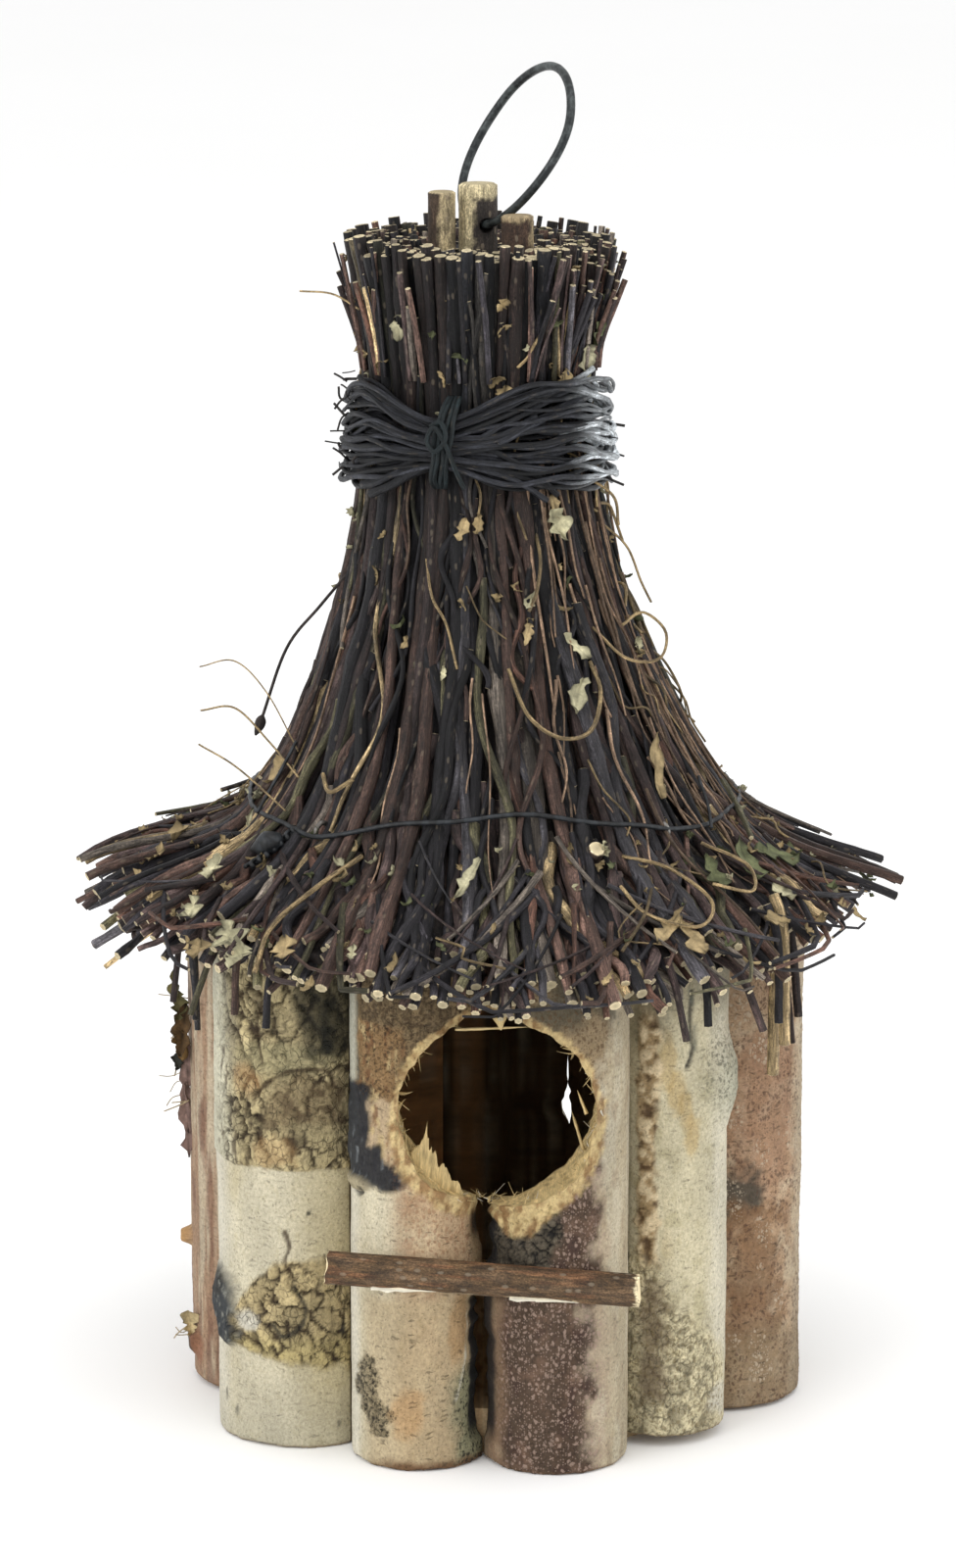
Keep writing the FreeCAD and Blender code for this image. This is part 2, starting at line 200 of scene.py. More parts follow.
def mesh_points(mesh):
    """A mesh's points, in millimetres."""
    points = np.zeros(len(mesh.vertices) * 3, np.float32)
    mesh.vertices.foreach_get("co", points)
    return points.reshape(-1, 3) / MM


def paint(mesh, name, values, kind="FLOAT_VECTOR"):
    """Stores one value for each point under this name, for the materials to read."""
    values = np.asarray(values, np.float32)
    if kind == "FLOAT_COLOR":
        values = np.hstack([values, np.ones((len(values), 1), np.float32)])
    layer = mesh.attributes.get(name) or mesh.attributes.new(name, kind, "POINT")
    layer.data.foreach_set("color" if kind == "FLOAT_COLOR" else "vector", values.ravel())


def link(name, data):
    """A new object in the scene that shows this data."""
    obj = bpy.data.objects.new(name, data)
    bpy.context.scene.collection.objects.link(obj)
    return obj


def make(shape, name, materials, flat_slots=(), leans=False):
    """The object of a finished shape. The roof's pieces lean with the neck."""
    mesh = bpy.data.meshes.new(name)
    points = np.vstack(shape.points)
    if leans:
        points[:, 0] -= NECK_LEAN * smooth(LEAN_START, LEAN_FULL, points[:, 2])
    mesh.from_pydata((points * MM).tolist(), [], shape.faces)
    for material in materials:
        mesh.materials.append(material)
    mesh.polygons.foreach_set("material_index", np.array(shape.slots, np.int32))
    mesh.polygons.foreach_set("use_smooth", np.array([s not in flat_slots for s in shape.slots]))
    paint(mesh, "tint", np.vstack(shape.tint), "FLOAT_COLOR")
    paint(mesh, "grain", np.vstack(shape.grain))
    mesh.update()
    return link(name, mesh)


def finish_piece(obj, body, slot, *nodes):
    """Puts a piece on its body, in the place of these nodes. slot is not used."""
    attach(obj, body)
    if nodes:
        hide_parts(*nodes)


def add_piece(shape, name, materials, slot, *nodes, body="house", **how):
    """Makes a shape's object and finishes it."""
    finish_piece(make(shape, name, materials, **how), body, slot, *nodes)


def grid_faces(rows, columns, closed=False):
    """The four-sided faces of a grid of points; closed joins its last column to its first."""
    faces = []
    for row in range(rows - 1):
        for column in range(columns if closed else columns - 1):
            after = (column + 1) % columns
            a, b = row * columns, (row + 1) * columns
            faces.append([a + column, a + after, b + after, b + column])
    return faces


def tube_faces(rows, columns):
    """The faces of rings of points, closed round and with a flat face at each end."""
    last = (rows - 1) * columns
    ends = [list(range(columns))[::-1], list(range(last, last + columns))]
    return grid_faces(rows, columns, closed=True) + ends


def sheet_faces(rows, columns):
    """The faces of a thin sheet: a grid of points in front, the same grid behind, and the edge between."""
    count = rows * columns
    front = grid_faces(rows, columns)
    border = [*range(columns), *range(2 * columns - 1, count, columns),
              *range(count - 2, count - columns - 1, -1), *range(count - 2 * columns, 0, -columns)]
    edge = [[b, a, a + count, b + count] for a, b in zip(border, border[1:] + border[:1])]
    return front + [[i + count for i in face][::-1] for face in front] + edge


def carried_frames(path):
    """Two square directions at each point of a path, carried along it without twist."""
    tangent = unit(np.gradient(path, axis=0))
    start = np.cross(tangent[0], UP if abs(tangent[0][2]) < 0.9 else [1.0, 0.0, 0.0])
    across = [unit(start)]
    for direction in tangent[1:]:
        step = across[-1] - direction * across[-1].dot(direction)
        across.append(unit(step))
    across = np.array(across)
    return tangent, across, np.cross(tangent, across)


def circles(turn, across, over):
    """Points on a circle of radius 1 round each place of a path, from its centre."""
    return np.cos(turn)[None, :, None] * across[:, None] + np.sin(turn)[None, :, None] * over[:, None]


def rod(shape, path, radius, tint, cut=None, sides=7, seed=0.0, knobs=0.0):
    """Adds a round rod along path. tint is one colour or one for each of the path's points, and cut is
    the colour of its cut ends, in the second material slot."""
    path = np.asarray(path, float)
    count = len(path)
    tangent, across, over = carried_frames(path)
    length = np.concatenate([[0], np.cumsum(np.linalg.norm(np.diff(path, axis=0), axis=1))])
    radius = np.broadcast_to(radius, count).astype(float)
    turn = np.linspace(0, 2 * math.pi, sides, endpoint=False)
    ring = circles(turn, across, over)
    reach = radius[:, None] * np.ones((1, sides))
    if knobs:
        uneven = noise_at(length[:, None] * 0.35 + seed, turn[None] * 0.8, seed).reshape(count, sides)
        reach = reach * (1 + knobs * uneven)
    body = path[:, None] + ring * reach[:, :, None]
    rim = 0.84
    push = 0.1 * radius[[0, -1], None]
    caps = path[[0, -1], None] + ring[[0, -1]] * (reach[[0, -1]] * rim)[:, :, None]
    caps = caps + np.array([-1, 1])[:, None, None] * tangent[[0, -1], None] * push[:, :, None]
    middles = caps.mean(axis=1)
    points = np.vstack([caps[0], body.reshape(-1, 3), caps[1], middles])
    faces = grid_faces(count + 2, sides, closed=True)
    slots = [0] * len(faces)
    last = (count + 1) * sides
    centre = (count + 2) * sides
    for i in range(sides):
        after = (i + 1) % sides
        faces += [[after, i, centre], [last + i, last + after, centre + 1]]
        slots += [1, 1] if cut is not None else [0, 0]
    around = np.broadcast_to(turn[None] * radius[:, None], (count, sides))
    along = np.broadcast_to(length[:, None], (count, sides))
    body_grain = np.stack([around, along + seed * 17, np.full_like(around, seed)], -1).reshape(-1, 3)
    end_grain = np.array([[0, 0, seed]])
    grain = np.vstack([body_grain[:sides], body_grain, body_grain[-sides:], end_grain, end_grain])
    tint = np.broadcast_to(tint, (count, 3))
    ends = tint[[0, -1]] if cut is None else np.tile(cut, (2, 1))
    tints = np.vstack([
        np.tile(ends[0], (sides, 1)), np.repeat(tint, sides, axis=0), np.tile(ends[1], (sides, 1)),
        ends * 0.62,
    ])
    shape.add(points, faces, tints, grain, slots)


# ---------------------------------------------------------------- materials
class Graph:
    """A material's nodes, added one call at a time."""

    def __init__(self, name, **settings):
        self.material = bpy.data.materials.new(name)
        self.material.use_nodes = True
        self.tree = self.material.node_tree
        self.shader = self.tree.nodes["Principled BSDF"]
        for socket, value in settings.items():
            self.shader.inputs[socket.replace("_", " ")].default_value = value

    def node(self, kind, **inputs):
        """A node with its inputs set or linked; names with a capital are sockets, the rest settings."""
        made = self.tree.nodes.new("ShaderNode" + kind)
        for name, value in inputs.items():
            if name[0].islower():
                setattr(made, name, value)
        for name, value in inputs.items():
            if name[0].islower():
                continue
            key = int(name[1:]) if name[1:].isdigit() else name.replace("_", " ")
            if isinstance(value, bpy.types.NodeSocket):
                self.tree.links.new(value, made.inputs[key])
            else:
                made.inputs[key].default_value = value
        return made

    def attribute(self, name, output="Color"):
        """A value that paint() stored at the mesh's points."""
        return self.node("Attribute", attribute_name=name).outputs[output]

    def stretched(self, vector, scale):
        """vector with each part multiplied by scale's."""
        return self.node("VectorMath", operation="MULTIPLY", I0=vector, I1=scale).outputs[0]

    def noise(self, vector, scale, detail=4.0, roughness=0.55, distortion=0.0):
        """Noise from 0 to 1."""
        return self.node("TexNoise", Vector=vector, Scale=scale, Detail=detail, Roughness=roughness,
                         Distortion=distortion).outputs["Fac"]

    def between(self, value, low, high, to_low=0.0, to_high=1.0):
        """value mapped smoothly from low..high to to_low..to_high."""
        return self.node("MapRange", interpolation_type="SMOOTHSTEP", Value=value, From_Min=low,
                         From_Max=high, To_Min=to_low, To_Max=to_high).outputs["Result"]

    def maths(self, operation, first, second=0.0):
        """One sum of two numbers."""
        return self.node("Math", operation=operation, I0=first, I1=second).outputs[0]

    def times(self, first, second):
        """The product of two numbers."""
        return self.maths("MULTIPLY", first, second)

    def mix(self, factor, first, second, blend="MIX"):
        """The second colour over the first, as far as factor says."""
        made = self.node("Mix", data_type="RGBA", blend_type=blend, I0=factor, I6=first, I7=second)
        return made.outputs[2]

    def scaled(self, colour, factor):
        """colour made lighter or darker by factor."""
        return self.node("VectorMath", operation="SCALE", I0=colour, Scale=factor).outputs[0]

    def shaded(self, colour, mask, share, factor):
        """colour made darker by factor under mask, as far as share says."""
        return self.mix(self.times(mask, share), colour, self.scaled(colour, factor))

    def bump(self, height, strength, distance, normal=None):
        """A normal that shows height as a relief."""
        linked = {"Normal": normal} if normal else {}
        return self.node("Bump", Strength=strength, Distance=distance, Height=height,
                         **linked).outputs["Normal"]

    def finish(self, colour, roughness=None, normal=None):
        """Links the surface's inputs and returns the material."""
        for socket, value in (("Base Color", colour), ("Roughness", roughness), ("Normal", normal)):
            if value is not None:
                self.tree.links.new(value, self.shader.inputs[socket])
        return self.material


def scattered_dots(graph, place, scale, share, size):
    """Small round spots over a share of scattered cells."""
    spots = graph.node("TexVoronoi", voronoi_dimensions="2D", Vector=place, Scale=scale)
    chosen = graph.maths("LESS_THAN", graph.node("SeparateColor", Color=spots.outputs["Color"]).outputs[0],
                         share)
    return graph.times(graph.between(spots.outputs["Distance"], size, size * 0.45), chosen)


def bark_material():
    """Log bark. The attribute marks holds how many lenticels, speckles and fine cracks a place has,
    and mark_tint the colour of the speckles."""
    g = Graph("birch_bark", Specular_IOR_Level=0.25)
    tint, grain = g.attribute("tint"), g.attribute("grain", "Vector")
    marks = g.node("SeparateXYZ", Vector=g.attribute("marks", "Vector")).outputs
    mark_tint = g.attribute("mark_tint")
    warped = g.node("VectorMath", operation="ADD", I0=grain, I1=g.stretched(
        g.node("TexNoise", Vector=grain, Scale=0.35, Detail=3.0).outputs["Color"], (2.4, 2.4, 0.0)))
    place = warped.outputs[0]
    broad = g.between(g.noise(g.stretched(grain, (1.0, 0.35, 1.0)), 0.16), 0.3, 0.72, 0.64, 0.8)
    fine = g.between(g.noise(g.stretched(grain, (1.3, 1.0, 1.0)), 1.3, 6.0, 0.74), 0.3, 0.7, 0.76, 1.2)
    colour = g.scaled(g.scaled(tint, broad), fine)
    # Grime: a thin greyish green film in clouds, and scattered dark flecks.
    film = g.between(g.noise(g.stretched(grain, (1.0, 0.7, 1.0)), 0.5, 7.0, 0.72), 0.5, 0.66, 0.0, 0.3)
    colour = g.mix(film, colour, g.mix(1.0, colour, (0.66, 0.62, 0.47, 1.0), "MULTIPLY"))
    flecks = scattered_dots(g, g.stretched(place, (1.0, 0.8, 1.0)), 1.5, 0.2, 0.34)
    colour = g.shaded(colour, flecks, 0.5, 0.4)
    # Lenticels: short level dashes, brown on the pale bark.
    dash_place = g.stretched(place, (0.42, 1.5, 1.0))
    dashes = g.times(scattered_dots(g, dash_place, 0.75, 0.16, 0.3), marks[0])
    colour = g.shaded(colour, dashes, 0.8, 0.4)
    small_place = g.stretched(place, (0.8, 2.2, 1.0))
    small = g.times(scattered_dots(g, small_place, 1.05, 0.3, 0.28), marks[0])
    colour = g.shaded(colour, small, 0.55, 0.45)
    # Speckles: crowded dots in their own colour, of two sizes.
    dots = scattered_dots(g, g.stretched(place, (1.0, 0.8, 1.0)), 0.92, 0.6, 0.36)
    tiny = scattered_dots(g, g.stretched(grain, (1.0, 0.9, 1.0)), 2.1, 0.4, 0.42)
    dots = g.times(g.maths("MAXIMUM", dots, g.times(tiny, 0.7)), marks[1])
    colour = g.mix(g.times(dots, 0.85), colour, g.scaled(mark_tint, 0.66))
    # Fine cracks of the rough bark.
    cracks = g.node("TexVoronoi", voronoi_dimensions="2D", feature="DISTANCE_TO_EDGE",
                    Vector=g.stretched(place, (1.0, 0.7, 1.0)), Scale=0.85).outputs["Distance"]
    patchy = g.between(g.noise(grain, 0.45), 0.42, 0.6)
    lines = g.times(g.times(g.between(cracks, 0.12, 0.0), marks[2]), patchy)
    colour = g.shaded(colour, lines, 0.75, 0.3)
    scales = g.noise(g.stretched(place, (1.0, 0.6, 1.0)), 1.1, 6.0, 0.75)
    height = g.maths("SUBTRACT", g.times(scales, g.maths("ADD", marks[2], 0.4)),
                     g.maths("ADD", lines, g.times(dashes, -0.25)))
    height = g.maths("ADD", height, g.times(dots, 0.3))
    normal = g.bump(height, 0.6, 0.0007)
    roughness = g.between(g.noise(grain, 0.8), 0.3, 0.7, 0.68, 0.88)
    return g.finish(colour, roughness, normal)


def twig_material(name, streaks, gloss, depth, scarred=0.5):
    """Thin bark: streaks run along the piece, with grainy blotches and small pale scars."""
    g = Graph(name, Specular_IOR_Level=0.32)
    tint, grain = g.attribute("tint"), g.attribute("grain", "Vector")
    lengthways = g.noise(g.stretched(grain, (2.2, 0.22, 1.0)), 1.1, 6.0, 0.68, 0.4)
    colour = g.scaled(tint, g.between(lengthways, 0.32, 0.68, 1 - streaks, 1 + 1.3 * streaks))
    blotches = g.noise(g.stretched(grain, (0.9, 0.3, 1.0)), 0.9, 5.0, 0.65)
    colour = g.scaled(colour, g.between(blotches, 0.35, 0.68, 0.6, 1.5))
    grit = g.noise(g.stretched(grain, (1.0, 0.6, 1.0)), 3.2, 3.0, 0.7)
    colour = g.scaled(colour, g.between(grit, 0.36, 0.66, 0.7, 1.45))
    scars = scattered_dots(g, g.stretched(grain, (0.8, 0.45, 1.0)), 0.8, 0.2, 0.3)
    colour = g.mix(g.times(scars, scarred), colour, (0.26, 0.21, 0.15, 1.0))
    height = g.maths("ADD", g.maths("ADD", lengthways, grit), g.times(scars, 0.4))
    roughness = g.between(blotches, 0.3, 0.7, gloss, gloss + 0.25)
    return g.finish(colour, roughness, g.bump(height, depth, 0.0004))


def raw_wood_material(name, along=(1.0, 0.12, 1.0), contrast=0.2):
    """Cut or torn wood: fibres with darker lines between them."""
    g = Graph(name, Specular_IOR_Level=0.25)
    tint, grain = g.attribute("tint"), g.attribute("grain", "Vector")
    fibres = g.noise(g.stretched(grain, along), 2.2, 6.0, 0.7, 0.3)
    colour = g.scaled(tint, g.between(fibres, 0.28, 0.72, 1 - contrast, 1 + contrast))
    stains = g.noise(grain, 0.35, 4.0)
    colour = g.scaled(colour, g.between(stains, 0.3, 0.7, 0.82, 1.1))
    roughness = g.between(fibres, 0.3, 0.7, 0.7, 0.92)
    return g.finish(colour, roughness, g.bump(fibres, 0.5, 0.0005))


def disc_material():
    """A sawn softwood disc: growth lines across it and fine fibres, from its place in the frame."""
    g = Graph("sawn_disc", Specular_IOR_Level=0.25)
    place = g.node("TexCoord").outputs["Object"]
    wobble = g.noise(place, 40.0, 3.0)
    bands = g.node("TexWave", wave_type="BANDS", bands_direction="X", Vector=place, Scale=90.0,
                   Distortion=6.0, Detail=3.0, Detail_Scale=1.4).outputs["Fac"]
    colour = g.mix(g.between(bands, 0.1, 0.9), (0.44, 0.29, 0.15, 1.0), (0.58, 0.42, 0.24, 1.0))
    fibres = g.noise(g.stretched(place, (1.0, 0.05, 1.0)), 1800.0, 4.0, 0.6)
    colour = g.scaled(colour, g.between(fibres, 0.3, 0.7, 0.82, 1.12))
    colour = g.scaled(colour, g.between(wobble, 0.3, 0.7, 0.88, 1.06))
    return g.finish(colour, g.between(fibres, 0.3, 0.7, 0.65, 0.85), g.bump(fibres, 0.35, 0.0004))


def metal_material(name, dark, light, roughness, metallic):
    """Drawn wire or pin: a worn coat with dull and bright places."""
    g = Graph(name, Metallic=metallic)
    place = g.node("TexCoord").outputs["Object"]
    wear = g.noise(place, 420.0, 5.0, 0.65)
    colour = g.mix(g.between(wear, 0.4, 0.68), (*dark, 1.0), (*light, 1.0))
    scratches = g.noise(g.stretched(place, (1.0, 1.0, 0.2)), 2600.0, 3.0)
    shine = g.between(scratches, 0.3, 0.7, roughness - 0.1, roughness + 0.15)
    return g.finish(colour, shine, g.bump(scratches, 0.2, 0.0002))


BARK = bark_material()
TWIG_BARK = twig_material("twig_bark", 0.6, 0.5, 0.9, 0.25)
STICK_BARK = twig_material("stick_bark", 0.35, 0.6, 0.6)
STRAND_BARK = twig_material("binding_bark", 0.6, 0.4, 0.9, 0.1)
TWIG_END = raw_wood_material("twig_end", (1.0, 1.0, 1.0), 0.15)
RAW_WOOD = raw_wood_material("raw_wood")
TORN_WOOD = raw_wood_material("torn_wood", (1.0, 0.18, 1.0), 0.28)
DRY_LEAF = raw_wood_material("dry_leaf", (0.6, 0.6, 1.0), 0.25)
DISC_WOOD = disc_material()
BLACK_WIRE = metal_material("black_wire", srgb(26, 30, 32), srgb(74, 80, 80), 0.42, 0.45)
THIN_WIRE = metal_material("thin_wire", srgb(14, 15, 17), srgb(44, 48, 52), 0.45, 0.3)
BRAD_STEEL = metal_material("brad_steel", srgb(96, 92, 88), srgb(150, 148, 144), 0.4, 0.9)

# ---------------------------------------------------------------- colours, as a screen shows them
CREAM = srgb(216, 207, 180)
PALE = srgb(226, 220, 202)
YELLOW_CREAM = srgb(204, 190, 150)
OLIVE_TAN = srgb(158, 142, 104)
BROWN = srgb(134, 114, 84)
DARK_BROWN = srgb(74, 58, 42)
PINK_TAN = srgb(186, 158, 124)
MAROON = srgb(89, 67, 53)
CHARCOAL = srgb(50, 48, 44)
ORANGE_TAN = srgb(196, 154, 104)
MOSS = srgb(112, 112, 88)
TORN = srgb(212, 188, 136)
SPLIT = srgb(150, 112, 74)
END_CREAM = srgb(224, 208, 170)


# ---------------------------------------------------------------- the half logs
class Bark:
    """How one log's bark looks and rises, worked out at points from their angle and height on it."""

    def __init__(self, angle, height, radius, seed):
        self.angle, self.height, self.seed = angle, height, seed
        self.arc = np.radians(angle) * radius
        self.per_degree = math.radians(1) * radius
        self.tint = np.tile(CREAM, (len(angle), 1))
        self.mark_tint = np.tile(DARK_BROWN, (len(angle), 1))
        self.marks = np.zeros((len(angle), 3))
        self.rise = np.zeros(len(angle))

    def field(self, size, stretch=1.0, salt=0, octaves=3):
        """Noise from about -1 to 1 with features this many millimetres wide, stretched along the log."""
        spots = np.stack([self.arc / size, self.height / (size * stretch), np.full_like(self.arc, 3.7)], 1)
        return fractal(spots, self.seed * 31 + salt, octaves)

    def blend(self, colour, mask):
        """Lays a colour over the bark as far as mask says."""
        self.tint += (linear(colour) - self.tint) * np.clip(mask, 0, 1)[:, None]

    def cover(self, colour):
        """Gives the whole log a colour."""
        self.blend(colour, np.ones_like(self.angle))

    def wash(self, colour, size, stretch=1.0, amount=1.0, low=-0.1, high=0.35, salt=1):
        """Loose clouds of colour."""
        mask = amount * smooth(low, high, self.field(size, stretch, salt))
        self.blend(colour, mask)
        return mask

    def area(self, angles, heights, soft=2.0, ragged=2.0, salt=2):
        """A mask over a stretch of angles and heights, with soft or ragged edges."""
        wander = ragged * self.field(4.0, 1.0, salt) + 0.4 * ragged * self.field(1.3, 1.0, salt + 1, 2)
        left = (self.angle - angles[0]) * self.per_degree
        right = (angles[1] - self.angle) * self.per_degree
        inside = np.minimum(np.minimum(left, right),
                            np.minimum(self.height - heights[0], heights[1] - self.height))
        return smooth(-soft / 2, soft / 2, inside + wander)

    def spot(self, angle, height, half_width, half_height, ragged=0.3, salt=5, soft=0.35):
        """A mask over one rounded spot."""
        reach = np.hypot((self.angle - angle) * self.per_degree / half_width,
                         (self.height - height) / half_height)
        return smooth(1 + soft, 1 - soft, reach + ragged * self.field(2.2, 1.0, salt))

    def stroke(self, places, width, colour=DARK_BROWN, depth=0.4, salt=7):
        """A drawn line, such as a long crack, through (angle, height) places."""
        line = curve(places, 40)
        dx = (self.angle[:, None] - line[None, :, 0]) * self.per_degree
        dy = self.height[:, None] - line[None, :, 1]
        near = np.sqrt((dx * dx + dy * dy).min(axis=1)) + 0.3 * self.field(1.6, 1.0, salt, 2)
        mask = smooth(width * 0.9, width * 0.25, near)
        self.blend(colour, mask * 0.85)
        self.rise -= depth * mask

    def crack(self, mask, size=4.6, stretch=1.5, depth=0.5, colour=DARK_BROWN, salt=9):
        """Breaks the bark under mask into plates of differing tone, with dark cracks between them."""
        for step, (scale, width) in enumerate(((1.0, 0.2), (0.42, 0.24))):
            bend = 0.7 * self.field(3.4 * scale, 1.0, salt + 4 * step, 3)
            x = self.arc / (size * scale) + bend
            y = self.height / (size * scale * stretch) - bend + 0.3 * self.field(1.2, 1.0, salt + 1, 2)
            gap, tone = cells(x, y, self.seed + salt + step)
            open_here = smooth(-0.8 + 0.5 * step, -0.05 + 0.2 * step, self.field(5.0, 1.4, salt + 2 + step))
            lines = smooth(width, 0.04, gap) * mask * open_here
            self.tint *= 1 + (mask * (0.5 - 0.15 * step) * (tone - 0.36))[:, None]
            self.blend(linear(colour) * 0.6, lines * (0.97 - 0.45 * step))
            self.rise += depth * scale * (0.7 * smooth(0.0, 0.45, gap) * mask - lines) * (1 - 0.5 * step)
        self.marks[:, 2] = np.maximum(self.marks[:, 2], mask)

    def ticks(self, mask, colour, length=3.0, share=0.15, salt=60):
        """Short upright dark strokes."""
        strokes = smooth(share, share + 0.2, self.field(0.75, length, salt, 2)) * mask
        self.blend(colour, strokes * 0.75)
        self.rise -= 0.15 * strokes

    def speckle(self, mask, colour):
        """Crowded small dots of a colour under mask."""
        self.mark_tint += (linear(colour) - self.mark_tint) * np.clip(mask * 4, 0, 1)[:, None]
        self.marks[:, 1] = np.maximum(self.marks[:, 1], mask)

    def lenticels(self, mask):
        """Short level dashes under mask."""
        self.marks[:, 0] = np.maximum(self.marks[:, 0], mask)

    def onwards(self, start, end, wander=0.0):
        """A mask that rises from 0 to 1 between two angles round the log."""
        return smooth(start, end, self.angle + wander)

    def upwards(self, start, end, wander=0.0):
        """A mask that rises from 0 to 1 between two heights."""
        return smooth(start, end, self.height + wander)


def bark_left(b):
    """Pale and smooth, with two bands of rough plates, a painted shadow of the eave over its top right corner and
    a knot at its left.
    """
    b.wash(YELLOW_CREAM, 14, 1.5, 0.6)
    b.blend(YELLOW_CREAM, 0.6 * b.onwards(38, 70))
    # Painted light: the left side, which faces the light, is made paler.
    b.blend(PALE, 0.75 * b.onwards(8, -18))
    b.lenticels(0.5)
    top = b.area((-30, 110), (56.6, 130), 0.6, 0.8)
    b.blend((190, 174, 132), top * b.onwards(-34, 14, 8 * b.field(5)))
    b.blend((212, 208, 184), top * 0.85 * b.onwards(14, -12, 8 * b.field(3, 4)))
    b.crack(top * b.onwards(-22, 6, 6 * b.field(4, salt=22)))
    b.ticks(top * b.onwards(-26, -6) * b.onwards(40, 20), DARK_BROWN, 3.6)
    b.rise += 0.5 * top
    lens = b.spot(44, 79, 9.5, 3.2, 0.3, 24)
    b.blend((182, 172, 132), 0.7 * lens)
    # Painted shadow: the eave's shadow over the log's top right, laid on as a dark colour.
    shade = b.area((46, 120), (80, 106), 3, 3.5, 20) * smooth(-9, 3, b.angle - 104 + 0.55 * b.height)
    b.blend((40, 39, 31), (0.88 + 0.4 * b.field(3, 2, 42)) * shade)
    b.blend(BROWN, 0.55 * b.area((34, 84), (66, 75), 3, 3, 21))
    b.blend(ORANGE_TAN, 0.5 * b.spot(18, 74, 3, 3.4, 0.6))
    b.blend(ORANGE_TAN, 0.4 * b.spot(38, 60, 4, 3.2, 0.6, salt=8))
    b.stroke([(24, 71), (36, 74.6), (52, 76.6), (72, 76.4), (79, 73)], 0.8, depth=0.7)
    b.stroke([(30, 90), (26, 84), (30, 78)], 0.6, depth=0.5)
    low_edge = smooth(-1.2, 1.2, b.height - 20.4 + 0.05 * b.angle + 2.4 * b.field(3.4, salt=30))
    peak = np.minimum(27 + 0.34 * (b.angle - 4), 38.6 + 1.5 * b.field(6, salt=29))
    rough = low_edge * smooth(1.2, -1.2, b.height - peak + 2.6 * b.field(4, salt=31))
    rough = rough * b.onwards(-4, 6, 8 * b.field(3, salt=32))
    b.blend((188, 170, 127), rough)
    b.blend((190, 174, 118), 0.6 * rough * b.upwards(25, 20))
    b.crack(rough, 4.0, 1.1, 0.45, salt=33)
    b.rise += 0.4 * rough
    b.stroke([(44, 44), (47, 41), (44, 38), (50, 35)], 0.7, depth=0.5)
    b.stroke([(50, 33), (57, 29), (54, 25), (43, 23), (36, 25)], 0.8, CHARCOAL)
    b.blend(PALE, b.spot(17, 25.4, 2.2, 2.1, 0.3))
    b.stroke([(8, 23), (18, 21.5), (28, 20.2)], 0.5)
    knot = b.spot(-10, 27.5, 5.0, 6.2, 0.3, 35)
    knot = np.maximum(knot, b.spot(-2, 22.5, 3.4, 3.0, 0.3, 34))
    b.blend((60, 63, 65), knot)
    b.blend(CHARCOAL, 0.8 * b.spot(-16, 31, 3.4, 3.0, 0.4, 36))
    b.ticks(knot, (150, 150, 140), 2.0, 0.2, 37)
    b.rise += 1.7 * knot + 0.4 * knot * b.field(1.4, 2, 38, 2)
    flecks = ((-8, 8.2, 1.4), (5, 5.9, 1.2), (83, 24, 1.6), (60, 48, 0.5), (80, 4.6, 0.8))
    for angle, height, length in flecks:
        b.blend(CHARCOAL, 0.85 * b.spot(angle, height, 0.45, length, 0.3, int(140 + angle)))
    b.blend((188, 182, 160), 0.5 * b.upwards(14, 2))


